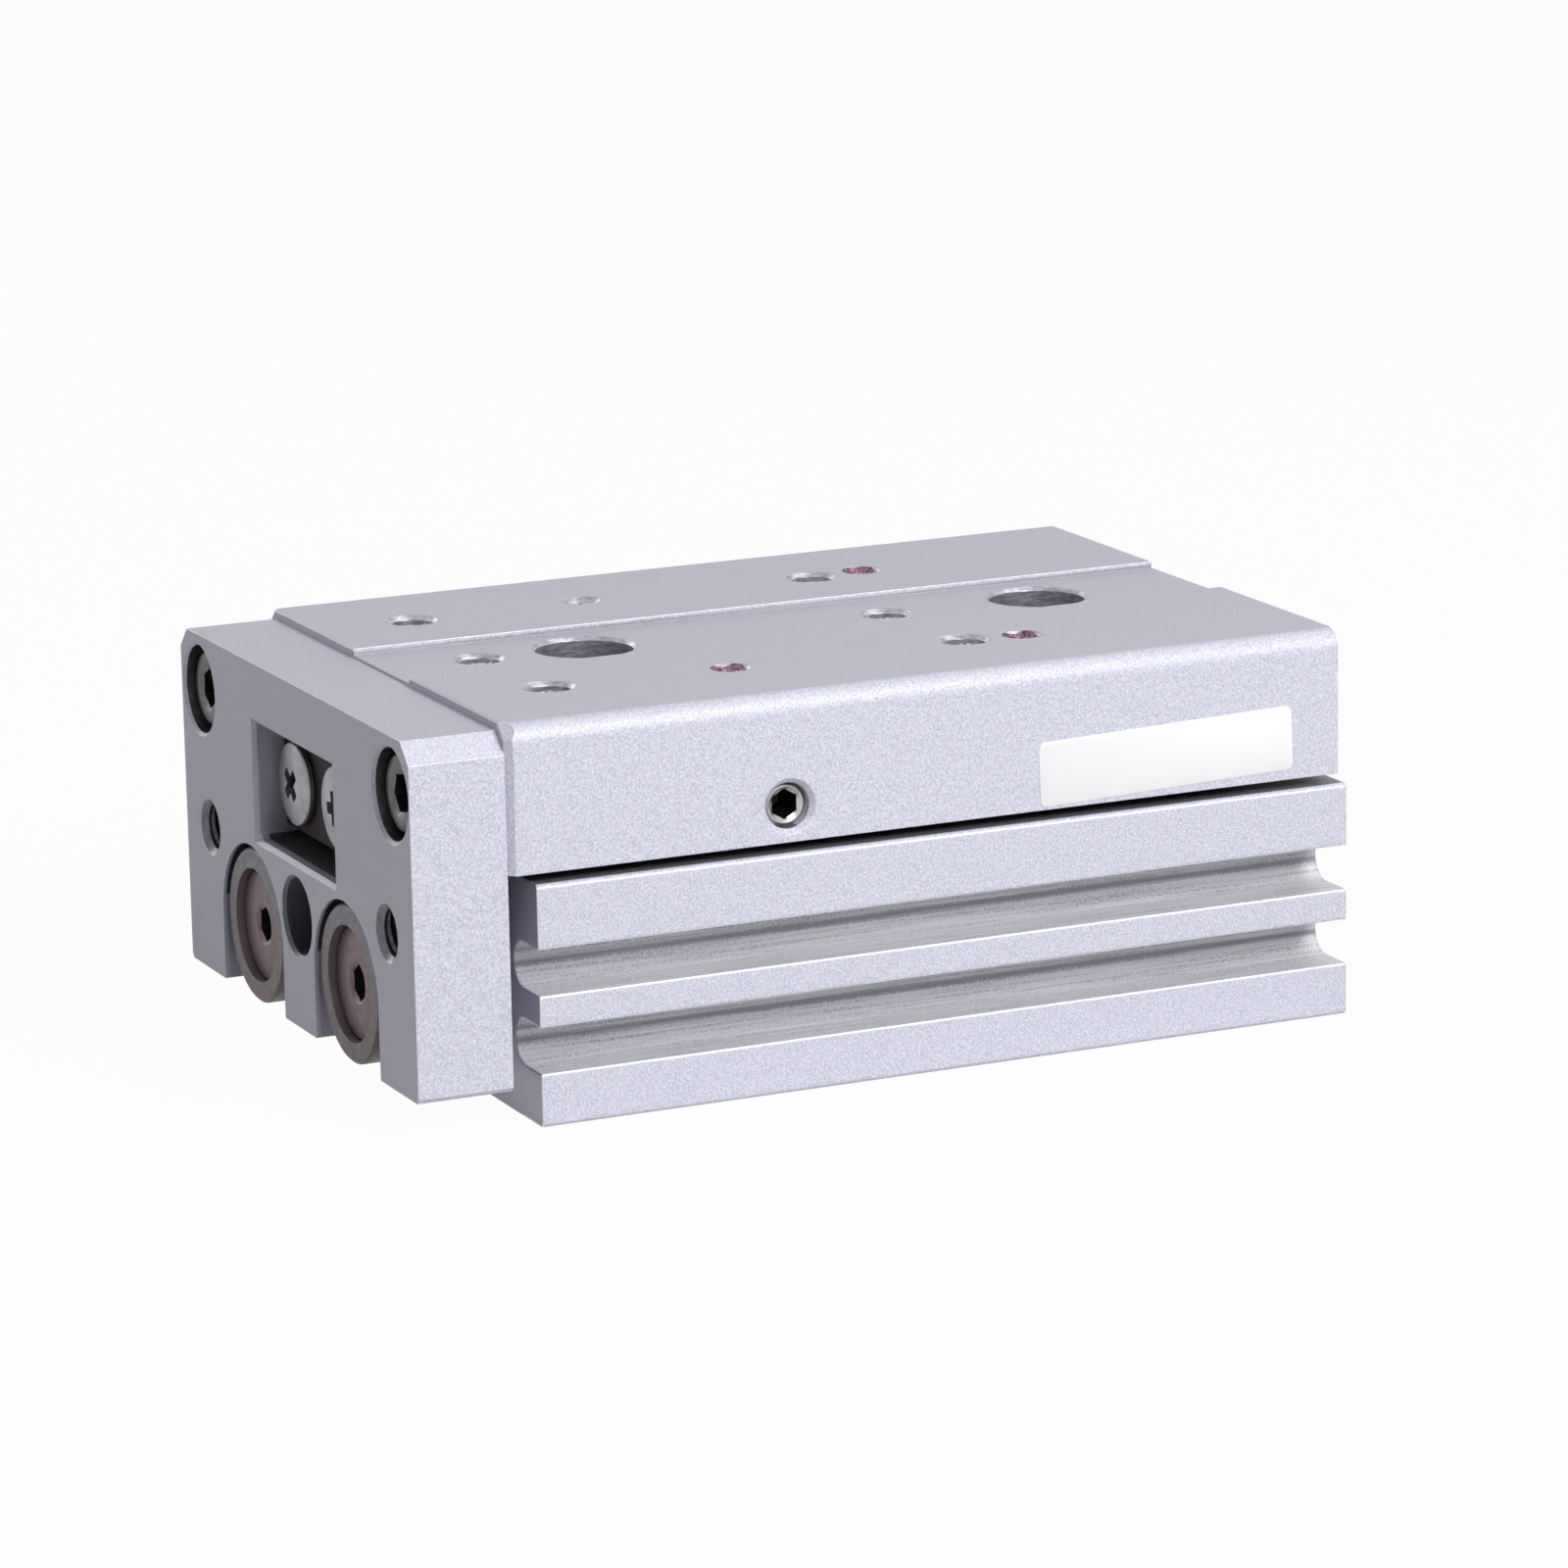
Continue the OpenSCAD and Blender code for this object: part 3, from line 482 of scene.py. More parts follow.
def ring_radius(shape, size, angle):
    """How far a ring reaches at an angle: round, knurled, a hex socket or a cross recess."""
    if shape == "hex":
        return size / math.cos((angle % (math.pi / 3)) - math.pi / 6)
    if shape == "cross":
        reach, blade = size
        bars = []
        for quarter in (0, math.pi / 2):
            c, s = abs(math.cos(angle + quarter)), abs(math.sin(angle + quarter))
            bars.append(min(reach / max(c, 1e-6), blade / max(s, 1e-6)))
        return min(reach, max(bars))
    if shape == "knurl":
        return size - KNURL_DEPTH * abs(math.sin(angle * KNURL_TEETH / 2))
    return size


def lathe_into(bm, rings, stand, steps):
    """Lofts closed rings into one solid. Each is a depth along the piece's own axis, a shape
    and a size. Faces inside a socket or recess take the second material, which paints their
    shade."""
    loops = []
    for depth, shape, size in rings:
        loop = []
        for i in range(steps):
            angle = 2 * math.pi * (i + 0.5) / steps
            radius = ring_radius(shape, size, angle)
            spot = (radius * math.cos(angle), radius * math.sin(angle), depth)
            loop.append(bm.verts.new(stand @ Vector(spot)))
        loops.append(loop)
    bm.faces.new(loops[0][::-1])
    inside = False
    for low, high, (depth, shape, size) in zip(loops, loops[1:], rings):
        inside = inside or shape in ("hex", "cross")
        for i in range(steps):
            j = (i + 1) % steps
            bm.faces.new((low[i], low[j], high[j], high[i])).material_index = int(inside)
    bm.faces.new(loops[-1]).material_index = 1


def screws(name, rings, stands, material, socket_shade_material, steps=96):
    """Several like screws in one piece."""
    bm = bmesh.new()
    for stand in stands:
        lathe_into(bm, rings, stand, steps)
    return finish_mesh(name, bm, material, socket_shade_material)


def cross_recess_screw(head_h, reach):
    """M5 low-domed screw with a cross recess; its crown is at depth 0."""
    dome_r = 24 * MM
    head_r = 4.7 * MM
    shank_r = 2.5 * MM
    rim = dome_r - math.sqrt(dome_r ** 2 - head_r ** 2)
    # The shank and the underside and edge of the head, then the dome, then the recess.
    rings = [(-head_h - reach, "round", 2.0 * MM),
             (-head_h - reach + 0.5 * MM, "round", shank_r), (-head_h, "round", shank_r),
             (-head_h, "round", head_r - 0.15 * MM), (-head_h + 0.15 * MM, "round", head_r),
             (-rim - 0.18 * MM, "round", head_r)]
    for share in (0.97, 0.92, 0.84, 0.74, 0.64, 0.54, 0.48):
        radius = head_r * share
        rings.append((-(dome_r - math.sqrt(dome_r ** 2 - radius ** 2)), "round", radius))
    rings += [(-0.08 * MM, "cross", (2.0 * MM, 0.68 * MM)),
              (-0.18 * MM, "cross", (1.9 * MM, 0.6 * MM)),
              (-1.0 * MM, "cross", (1.3 * MM, 0.4 * MM)),
              (-1.7 * MM, "cross", (0.6 * MM, 0.3 * MM))]
    return rings


dress("guide_block", ground_steel("ground_guide_steel", STEEL_GROUND, STEEL_GROUND_DARK))
# Black oxide is a dull, nearly black skin that gives back little light.
stop_finish = plated_steel("black_oxide_stop_plate", BLACK_OXIDE_WORN, BLACK_OXIDE, 0.5,
                           metallic=0.0, specular=0.1)
dress("front_roller_stop", stop_finish)
dress("rear_roller_stop", stop_finish)
dark_screw_finish = plated_steel("dark_plated_screw", DARK_PLATED, DARK_PLATED_LOW, 0.34)
dress("guide_block_screws", dark_screw_finish)
# Zinc is paler and a little cloudy. Inside a socket or recess the metal is painted dark,
# for oil and dirt and for the recess's shade.
zinc_finish = plated_steel("zinc_plated_screw", ZINC, ZINC_DULL, 0.36)
socket_shade_finish = plated_steel("oiled_and_shaded_socket_wall", SOCKET_BLACK, SOCKET_OILY_SHADE, 0.4, metallic=0.6)

cross_screw = cross_recess_screw(STOP_SCREW_HEAD_H, STOP_SCREW_REACH)
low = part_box("front_stop_screws")[0]
front = screws("front_cross_screws", cross_screw,
               [facing((side * STOP_SCREW_X, low.y, STOP_SCREW_Z), (0, -1, 0), turn)
                for side, turn in ((-1, 45), (1, 5))], zinc_finish, socket_shade_finish, steps=144)
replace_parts(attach(front, "base"), "front_stop_screws")
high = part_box("rear_stop_screws")[1]
rear = screws("rear_cross_screws", cross_screw,
              [facing((side * STOP_SCREW_X, high.y, STOP_SCREW_Z), (0, 1, 0), turn)
               for side, turn in ((-1, 20), (1, 63))], zinc_finish, socket_shade_finish, steps=144)
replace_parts(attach(rear, "base"), "rear_stop_screws")


# ---- Rods, pistons, covers and seals -------------------------------------------------
# Each bore holds a hard chromed rod with a piston, magnet and seals. A rod cover closes
# the front and a head cap the rear, both turned from aluminium and held by black spring
# rings; bumpers of cast urethane take the last of the stroke.

TURNED_ALUMINIUM = "#c9c9c4"
TURNED_ALUMINIUM_DARK = "#aeaeaa"
CHROME = "#c9c9cc"
CHROME_DARK = "#b4b4b8"
CHROMATE = "#c8b67e"
CHROMATE_DULL = "#ab9a68"
NITRILE = "#202124"
NITRILE_DUSTY = "#303134"
URETHANE = "#7d5c35"
URETHANE_DEEP = "#65472a"
MAGNET = "#3a3a3e"
MAGNET_DUSTY = "#46464a"
SPRING_STEEL = "#4c4d51"
SPRING_STEEL_OILED = "#5d5e62"
BORE_X = 14.5 * MM
BORE_Z = 12.5 * MM
TOOL_PITCH = 0.3 * MM
TOOL_WOBBLE = 0.12
TURNED_CLOUD = 0.9 * MM
LOWER_TONE_FROM_Z = BORE_Z + 7 * MM
LOWER_TONE_FULL_Z = BORE_Z - 5 * MM
RECESS_R = 6.6 * MM
RUBBER_CLOUD = 0.8 * MM
RUBBER_SKIN = 0.25 * MM


def from_bore_axis(tree, place):
    """Distance from the nearer cylinder axis, the same on both sides."""
    split = add(tree, "SeparateXYZ", {0: place}).outputs
    side = add(tree, "Math", {0: split["X"]}, operation="ABSOLUTE").outputs[0]
    across = add(tree, "Math", {0: side, 1: BORE_X}, operation="SUBTRACT").outputs[0]
    up = add(tree, "Math", {0: split["Z"], 1: BORE_Z}, operation="SUBTRACT").outputs[0]
    spot = add(tree, "CombineXYZ", {"X": across, "Y": up}).outputs[0]
    return add(tree, "VectorMath", {0: spot}, operation="LENGTH").outputs["Value"]


def turned_metal(name, light, dark, rough, metallic=1.0, pitch=TOOL_PITCH, painted_wall_light=None,
                 lower_tone=None):
    """Metal faced on a lathe: rings a feed apart round the axis, drawn coarser than a real
    feed so that they show, and bright where the light crosses them. Bored walls in a recess
    may be painted lighter, as painted light, and the face may be darker towards the bottom."""
    material, tree, shader, place = start_material(name, metallic=metallic)
    radius = from_bore_axis(tree, place)
    skin = add(tree, "TexNoise", {"Vector": place, "Scale": 1 / TURNED_CLOUD,
                                  "Detail": 2.0}).outputs["Fac"]
    wobble = add(tree, "MapRange", {"Value": skin, **NOISE, "To Min": -TOOL_WOBBLE * pitch,
                                    "To Max": TOOL_WOBBLE * pitch}).outputs["Result"]
    ring = add(tree, "Math", {0: radius, 1: wobble}).outputs[0]
    phase = add(tree, "Math", {0: ring, 1: 2 * math.pi / pitch},
                operation="MULTIPLY").outputs[0]
    wave = add(tree, "Math", {0: phase}, operation="SINE").outputs[0]
    height = add(tree, "MapRange", {"Value": wave, "From Min": -1.0}).outputs["Result"]
    patches = add(tree, "MapRange", {"Value": skin, **NOISE, "To Max": 0.6}).outputs["Result"]
    share = add(tree, "Math", {0: height, 1: patches}, operation="MULTIPLY",
                use_clamp=True).outputs[0]
    colour = add(tree, "Mix", {0: share, COLOUR_A: linear(light), COLOUR_B: linear(dark)},
                 data_type="RGBA").outputs[COLOUR_OUT]
    # Darker towards the bottom.
    if lower_tone:
        level = add(tree, "SeparateXYZ", {0: place}).outputs["Z"]
        low_down = add(tree, "MapRange", {"Value": level, "From Min": LOWER_TONE_FROM_Z,
                                          "From Max": LOWER_TONE_FULL_Z,
                                          "To Max": 0.8}).outputs["Result"]
        colour = add(tree, "Mix", {0: low_down, COLOUR_A: colour, COLOUR_B: linear(lower_tone)},
                     data_type="RGBA").outputs[COLOUR_OUT]
    # The recess wall is painted lighter, as painted light.
    if painted_wall_light:
        slope = add(tree, "SeparateXYZ", {0: add(tree, "TexCoord").outputs["Normal"]})
        slope = add(tree, "Math", {0: slope.outputs["Y"]}, operation="ABSOLUTE").outputs[0]
        bored = add(tree, "Math", {0: slope, 1: 0.5}, operation="LESS_THAN").outputs[0]
        inner = add(tree, "Math", {0: radius, 1: RECESS_R}, operation="LESS_THAN").outputs[0]
        bored = add(tree, "Math", {0: bored, 1: inner}, operation="MULTIPLY").outputs[0]
        colour = add(tree, "Mix", {0: bored, COLOUR_A: colour, COLOUR_B: linear(painted_wall_light)},
                     data_type="RGBA").outputs[COLOUR_OUT]
    roughness = add(tree, "MapRange", {"Value": skin, **NOISE, "To Min": rough,
                                       "To Max": rough + 0.12}).outputs["Result"]
    finish_surface(tree, shader, colour, roughness, height, 0.006 * MM)
    return material


def moulded_rubber(name, light, dark, rough):
    """Moulded elastomer: a dense matt skin with faint flow clouds and a bloom of dust."""
    material, tree, shader, place = start_material(name, metallic=0.0)
    clouds = add(tree, "TexNoise", {"Vector": place, "Scale": 1 / RUBBER_CLOUD,
                                    "Detail": 2.0}).outputs["Fac"]
    clouds = add(tree, "MapRange", {"Value": clouds, **NOISE}).outputs["Result"]
    skin = add(tree, "TexNoise", {"Vector": place, "Scale": 1 / RUBBER_SKIN,
                                  "Detail": 2.0}).outputs["Fac"]
    colour = add(tree, "Mix", {0: clouds, COLOUR_A: linear(light), COLOUR_B: linear(dark)},
                 data_type="RGBA").outputs[COLOUR_OUT]
    roughness = add(tree, "MapRange", {"Value": skin, **NOISE, "To Min": rough,
                                       "To Max": rough + 0.15}).outputs["Result"]
    finish_surface(tree, shader, colour, roughness, skin, 0.01 * MM)
    return material


cap_finish = turned_metal("turned_cap_aluminium", TURNED_ALUMINIUM, TURNED_ALUMINIUM_DARK, 0.34)
dress("rod_covers", cap_finish)
dress("head_caps", cap_finish)
# Hard chrome is polished after plating, and mirrors the bore with a faint polishing haze.
chrome_finish = ground_steel("hard_chromed_rod", CHROME, CHROME_DARK, line=0.35 * MM,
                             rough=0.1, stretch=(1, 0.6, 1))
dress("piston_rods", chrome_finish)
# Chromate conversion gives turned aluminium a pale straw tint.
dress("pistons", turned_metal("chromated_piston_aluminium", CHROMATE, CHROMATE_DULL, 0.4))
seal_finish = moulded_rubber("nitrile_seal", NITRILE_DUSTY, NITRILE, 0.55)
for seal in ("rod_seals", "cover_o_rings", "cap_o_rings", "piston_seals"):
    dress(seal, seal_finish)
# Cast urethane is amber brown and smoother than nitrile.
bumper_finish = moulded_rubber("urethane_bumper", URETHANE, URETHANE_DEEP, 0.4)
dress("front_bumpers", bumper_finish)
dress("rear_bumpers", bumper_finish)
dress("piston_magnets", moulded_rubber("bonded_magnet", MAGNET_DUSTY, MAGNET, 0.5))
ring_finish = plated_steel("oiled_spring_steel", SPRING_STEEL_OILED, SPRING_STEEL, 0.3)
dress("front_snap_rings", ring_finish)
dress("rear_snap_rings", ring_finish)


# ---- Table, rails and their screws ------------------------------------------------------
# The table is a milled aluminium channel with a shallow groove along its top, clear
# anodised. Ground steel rails are held in its cavity by four small set screws from above,
# and one set screw in the right side presses the rail to take out play.

RAIL_STEEL = "#939398"
RAIL_STEEL_DARK = "#808087"
SET_SCREW = "#94908f"
BRIGHT_SCREW = "#cfccca"
BRIGHT_SCREW_DULL = "#a39e9e"
LOCKED_ALUMINIUM = "#c8a9bd"
TABLE_THREAD_X = 20 * MM
TABLE_THREAD_Y = (-33.3 * MM, 16.2 * MM)
TABLE_LEAD_IN = 0.5 * MM
STRIP_THREAD_L = 6 * MM
CHANNEL_THREAD_L = 5.6 * MM
RAIL_HOLE_X = 20.8 * MM
RAIL_HOLE_Y = (-12.3 * MM, 23 * MM)
RAIL_LEAD_IN = 0.3 * MM
RAIL_MINOR_R = 1.68 * MM
RAIL_PITCH = 0.7 * MM
RAIL_CREST = 0.2 * MM
LOCKED_X = (18.8 * MM, 23 * MM)
LOCKED_AROUND = 1.95 * MM
PRELOAD_Z = 31.6 * MM
GROOVE_WALL_X = 8.5 * MM
TABLE_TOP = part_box("table")[1].z
CHANNEL_FLOOR = TABLE_TOP - 0.7 * MM
GROOVE_LIP = 0.28 * MM
GROOVE_FOOT = CHANNEL_FLOOR + 0.1 * MM

drilled = {"y": (-44.1 * MM, 53.9 * MM), "z": (36.7 * MM, TABLE_TOP - 0.05 * MM),
           "slope z": LOOKS_ACROSS}
channel_drilled = {"side": (0, GROOVE_WALL_X - 1 * MM), **drilled}
strips_drilled = {"side": (GROOVE_WALL_X + 1 * MM, 28 * MM), **drilled}
locked_right = [{"x": LOCKED_X, "y": (y - LOCKED_AROUND, y + LOCKED_AROUND)}
                for y in RAIL_HOLE_Y]
locked_left = {"x": (-LOCKED_X[1], -LOCKED_X[0]),
               "y": (RAIL_HOLE_Y[1] - LOCKED_AROUND, RAIL_HOLE_Y[1] + LOCKED_AROUND)}
# The groove's walls take the drawn colours and a band of painted shade at their foot.
groove_walls = {"side": GROOVE_WALL, "slope z": LOOKS_ACROSS,
                "z": (CHANNEL_FLOOR - 0.1 * MM, TABLE_TOP - GROOVE_LIP)}
# Faces across the cavity under the table are darkened with painted shade.
cavity_top = {"z": (0, 36 * MM), "slope z": LOOKS_ALONG, "side": (0, 35.3 * MM)}
table_finish = anodised_aluminium(
    "clear_anodised_table", bore_streaks=(0.25, 0.25, 1.0),
    bare_zones=[channel_drilled, strips_drilled], locked_zones=locked_right + [locked_left],
    drawn_and_shaded_zones=[groove_walls], painted_shade_bands=((GROOVE_FOOT, 0.45 * MM),),
    painted_shade_zones=[cavity_top])
dress("table", table_finish)

strip_holes = [((side * TABLE_THREAD_X, y, TABLE_TOP - TABLE_LEAD_IN), (0, 0, 1))
               for side in (-1, 1) for y in TABLE_THREAD_Y]
threads = tapped_thread("table_strip_threads", strip_holes, M6_MINOR_R, M6_PITCH,
                        STRIP_THREAD_L, M6_CREST, thread_finish)
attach(threads, "table")
channel_holes = [((0, y, CHANNEL_FLOOR - TABLE_LEAD_IN), (0, 0, 1)) for y in TABLE_THREAD_Y]
threads = tapped_thread("table_channel_threads", channel_holes, M6_MINOR_R, M6_PITCH,
                        CHANNEL_THREAD_L, M6_CREST, thread_finish)
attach(threads, "table")

rail_finish = ground_steel("ground_rail_steel", RAIL_STEEL, RAIL_STEEL_DARK)
dress("left_rail", rail_finish)
dress("right_rail", rail_finish)


def socket_set_screw(radius, hex_flat, length):
    """Set screw with a hex socket; its socket end is at depth 0."""
    half = hex_flat / 2
    # The point, the thread's outside, the face and its countersink, then the socket.
    return [(-length, "round", radius - 0.45 * MM), (-length + 0.45 * MM, "round", radius),
            (-0.4 * MM, "round", radius), (0, "round", radius - 0.4 * MM),
            (0, "round", half * 1.34), (-0.25 * MM, "round", half * 1.13),
            (-0.32 * MM, "hex", half), (-length * 0.5, "hex", half),
            (-length * 0.5 - 0.5 * MM, "round", 0.15 * half)]


# Dried thread lock tints the rail screws and three of their four holes pink.
locked_finish = plated_steel("thread_locked_set_screw", SET_SCREW, LOCK_TINT, 0.3,
                             patch=1.2 * MM)
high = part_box("rail_screws")[1]
rail_spots = [(side * RAIL_HOLE_X, y, high.z) for side in (-1, 1) for y in RAIL_HOLE_Y]
piece = screws("rail_set_screws", socket_set_screw(1.63 * MM, 1.6 * MM, 9.5 * MM),
               [facing(spot, (0, 0, 1), 17 * i) for i, spot in enumerate(rail_spots)],
               locked_finish, socket_shade_finish)
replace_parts(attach(piece, "table"), "rail_screws")

thread_depth = TABLE_TOP - RAIL_LEAD_IN - high.z - 0.2 * MM
lock_finish = bare_cut_metal("thread_lock_on_aluminium", LOCKED_ALUMINIUM, LOCK_TINT_DARK, 0.2,
                             metallic=0.8)
for piece_name, spots, material in (("locked_rail_threads", rail_spots[1:], lock_finish),
                                    ("plain_rail_thread", rail_spots[:1], thread_finish)):
    holes = [((x, y, TABLE_TOP - RAIL_LEAD_IN), (0, 0, 1)) for x, y, z in spots]
    threads = tapped_thread(piece_name, holes, RAIL_MINOR_R, RAIL_PITCH, thread_depth,
                            RAIL_CREST, material)
    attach(threads, "table")

# Left unplated, this screw is the brightest of them and a little warm.
plain_finish = plated_steel("plain_set_screw", BRIGHT_SCREW, BRIGHT_SCREW_DULL, 0.28)
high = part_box("preload_screw")[1]
piece = screws("preload_set_screw", socket_set_screw(2.5 * MM, 2.9 * MM, 10 * MM),
               [facing((high.x, RAIL_HOLE_Y[0], PRELOAD_Z), (1, 0, 0), 30)],
               plain_finish, socket_shade_finish)
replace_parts(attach(piece, "table"), "preload_screw")


# ---- Blank label -----------------------------------------------------------------------
# A white polyester film with a semi-gloss face and rounded corners, stuck on the right
# side of the table by hand and so a little askew. It carries no print.

FILM = "#fbfcfc"
FILM_SHADE = "#f5f6f6"
FILM_WAVE = 4 * MM
LABEL_L = 31.2 * MM
LABEL_H = 7.2 * MM
LABEL_CORNER = 0.8 * MM
CORNER_STEPS = 8
LABEL_TILT = math.radians(1.6)
LABEL_SHIFT = Vector((0, -1.2 * MM, -0.35 * MM))
ROUNDED_EDGE = 0.03 * MM
FACE_SUNK = 0.01 * MM

film, tree, shader, place = start_material("white_polyester_film", metallic=0.0)
waves = add(tree, "TexNoise", {"Vector": place, "Scale": 1 / FILM_WAVE,
                               "Detail": 2.0}).outputs["Fac"]
colour = add(tree, "Mix", {0: waves, COLOUR_A: linear(FILM), COLOUR_B: linear(FILM_SHADE)},
             data_type="RGBA").outputs[COLOUR_OUT]
roughness = add(tree, "MapRange", {"Value": waves, "To Min": 0.3,
                                   "To Max": 0.36}).outputs["Result"]
finish_surface(tree, shader, colour, roughness, waves, 0.01 * MM, softness=0.05 * MM)
label_low, label_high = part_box("side_label")
label_middle = (label_low + label_high) / 2 + LABEL_SHIFT
bm = bmesh.new()
outline = []
for corner, (sy, sz) in enumerate(((1, 1), (-1, 1), (-1, -1), (1, -1))):
    for step in range(CORNER_STEPS + 1):
        angle = math.radians(90 * corner + 90 * step / CORNER_STEPS)
        outline.append((sy * (LABEL_L / 2 - LABEL_CORNER) + LABEL_CORNER * math.cos(angle),
                        sz * (LABEL_H / 2 - LABEL_CORNER) + LABEL_CORNER * math.sin(angle)))
cos_tilt, sin_tilt = math.cos(LABEL_TILT), math.sin(LABEL_TILT)
layers = []
for x, inset in ((label_low.x, 0), (label_high.x - ROUNDED_EDGE, 0),
                 (label_high.x - FACE_SUNK, ROUNDED_EDGE)):
    ring = []
    for y, z in outline:
        y, z = y * (1 - inset / (LABEL_L / 2)), z * (1 - inset / (LABEL_H / 2))
        ring.append(bm.verts.new((x, label_middle.y + y * cos_tilt - z * sin_tilt,
                                  label_middle.z + y * sin_tilt + z * cos_tilt)))
    layers.append(ring)
for low_ring, high_ring in zip(layers, layers[1:]):
    for i in range(len(outline)):
        j = (i + 1) % len(outline)
        bm.faces.new((low_ring[i], low_ring[j], high_ring[j], high_ring[i]))
bm.faces.new(layers[0][::-1])
bm.faces.new(layers[-1])
label = finish_mesh("blank_label", bm, film)
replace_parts(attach(label, "table"), "side_label")


# ---- End plate, its screws and the floating bushes ---------------------------------------
# The end plate is sawn and milled aluminium, clear anodised, held to the table by two
# socket screws. Each rod ends in a floating steel bush that hooks into a slot in the
# plate, tightened by a large flat screw with a bronze-toned finish.

BUSH = "#646369"
BUSH_DARK = "#515056"
BUSH_WALL_PAINTED_LIGHT = "#84787a"
BUSH_LOWER_TONE = "#544548"
BRONZE_TONE = "#6e5f61"
BRONZE_TONE_DARK = "#584a4b"
# Darker copies of the bare and tapped metal, as painted shade in the plate's hollows.
PLATE_SHADE = "#77777b"
PLATE_SHADE_DARK = "#58575b"
PLATE_THREAD_SHADE = "#515257"
PLATE_THREAD_SHADE_DARK = "#3a3b3f"
PLATE_HOLE_X = 27.4 * MM
PLATE_HOLE_Z = 21.1 * MM
PLATE_HOLE_AROUND = 3.7 * MM
PLATE_THREAD_L = 9.6 * MM
# Share of the painted edge highlight on the plate's rims, which the sides get in full.
PLATE_RIM_HIGHLIGHT = 0.5
CAP_SCREW_X = 29.6 * MM
CAP_SCREW_Z = 36.6 * MM
BUSH_PITCH = 0.35 * MM
FLAT_SCREW_PITCH = 0.4 * MM
FLAT_SCREW_SUNK = 0.2 * MM

plate_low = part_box("end_plate")[0]
# Its M6 holes, counterbores, bush slots and the window's floor and ceiling are bare metal in the
# darker colours, which are painted shade.
side_holes = {"side": (PLATE_HOLE_X - PLATE_HOLE_AROUND, PLATE_HOLE_X + PLATE_HOLE_AROUND),
              "slope y": LOOKS_ACROSS, "y": (plate_low.y + 0.06 * MM, FAR),
              "z": (PLATE_HOLE_Z - PLATE_HOLE_AROUND, PLATE_HOLE_Z + PLATE_HOLE_AROUND)}
cap_screw_holes = {"side": (24 * MM, 35 * MM), "side and z": (0, 75 * MM),
                   "slope y": LOOKS_ACROSS, "y": (plate_low.y + 0.36 * MM, FAR),
                   "z": (31 * MM, 42.5 * MM)}
window = {"side": (0, 13 * MM), "y": (plate_low.y + 1.4 * MM, FAR), "slope z": (0.5, 2),
          "z": (22 * MM, 37 * MM)}
bush_slots = {"side": (5 * MM, 24 * MM), "y": (plate_low.y + 0.4 * MM, FAR),
              "slope y": LOOKS_ACROSS, "z": (plate_low.z + 0.6 * MM, 22.2 * MM)}
# The plate's centre bore is darkened with painted shade.
centre_bore = {"side": (0, 4.6 * MM), "slope y": LOOKS_ACROSS, "z": (12 * MM, 21.6 * MM)}
plate_finish = anodised_aluminium(
    "clear_anodised_plate", bore_streaks=(0.25, 1.0, 0.25),
    bare_zones=[side_holes, cap_screw_holes, window, bush_slots], painted_shade_zones=[centre_bore],
    bare_or_shade_colours=(PLATE_SHADE, PLATE_SHADE_DARK), rim_highlight=PLATE_RIM_HIGHLIGHT)
dress("end_plate", plate_finish)

# The plate's threads are a darker copy of the tapped metal, as painted shade.
shaded_plate_thread_finish = bare_cut_metal("shaded_tapped_plate_aluminium", PLATE_THREAD_SHADE,
                                     PLATE_THREAD_SHADE_DARK, 0.35)
plate_holes = [((side * PLATE_HOLE_X, plate_low.y + M6_LEAD_IN, PLATE_HOLE_Z), (0, -1, 0))
               for side in (-1, 1)]
threads = tapped_thread("end_plate_threads", plate_holes, M6_MINOR_R, M6_PITCH,
                        PLATE_THREAD_L, M6_CREST, shaded_plate_thread_finish)
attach(threads, "table")


def socket_head_screw(head_r, head_h, hex_flat, thread_r, reach, chamfer, countersink=1.3):
    """Cap screw with a knurled head and hex socket; its head's face is at depth 0."""
    half = hex_flat / 2
    # The shank, the head and its knurl, the chamfer and face, then the socket.
    return [(-head_h - reach, "round", thread_r - 0.5 * MM),
            (-head_h - reach + 0.5 * MM, "round", thread_r), (-head_h, "round", thread_r),
            (-head_h, "round", head_r - 0.2 * MM), (-head_h + 0.2 * MM, "round", head_r),
            (-head_h + 0.5 * MM, "knurl", head_r), (-chamfer - 0.3 * MM, "knurl", head_r),
            (-chamfer, "round", head_r), (-chamfer * 0.35, "round", head_r - chamfer * 0.35),
            (0, "round", head_r - chamfer), (0, "round", half * countersink),
            (-0.25 * MM, "round", half * 1.14), (-0.32 * MM, "hex", half),
            (-head_h * 0.6, "hex", half), (-head_h * 0.6 - 0.5 * MM, "round", 0.2 * half)]


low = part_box("end_plate_screws")[0]
caps = screws("end_plate_cap_screws",
              socket_head_screw(4.25 * MM, 5 * MM, 4 * MM, 2.5 * MM, 15.9 * MM, 0.45 * MM,
                                countersink=1.4),
              [facing((side * CAP_SCREW_X, low.y, CAP_SCREW_Z), (0, -1, 0), turn)
               for side, turn in ((-1, 28), (1, 10))], dark_screw_finish, socket_shade_finish)
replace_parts(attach(caps, "table"), "end_plate_screws")

# The turned steel is dark grey. The wall in its recess is painted lighter and warmer as
# painted light, and the steel is darker and browner towards the bottom.
bush_finish = turned_metal("turned_bush_steel", BUSH, BUSH_DARK, 0.4, metallic=0.6,
                           pitch=BUSH_PITCH, painted_wall_light=BUSH_WALL_PAINTED_LIGHT, lower_tone=BUSH_LOWER_TONE)
dress("floating_bushes", bush_finish)
dress("bush_collars", bush_finish)
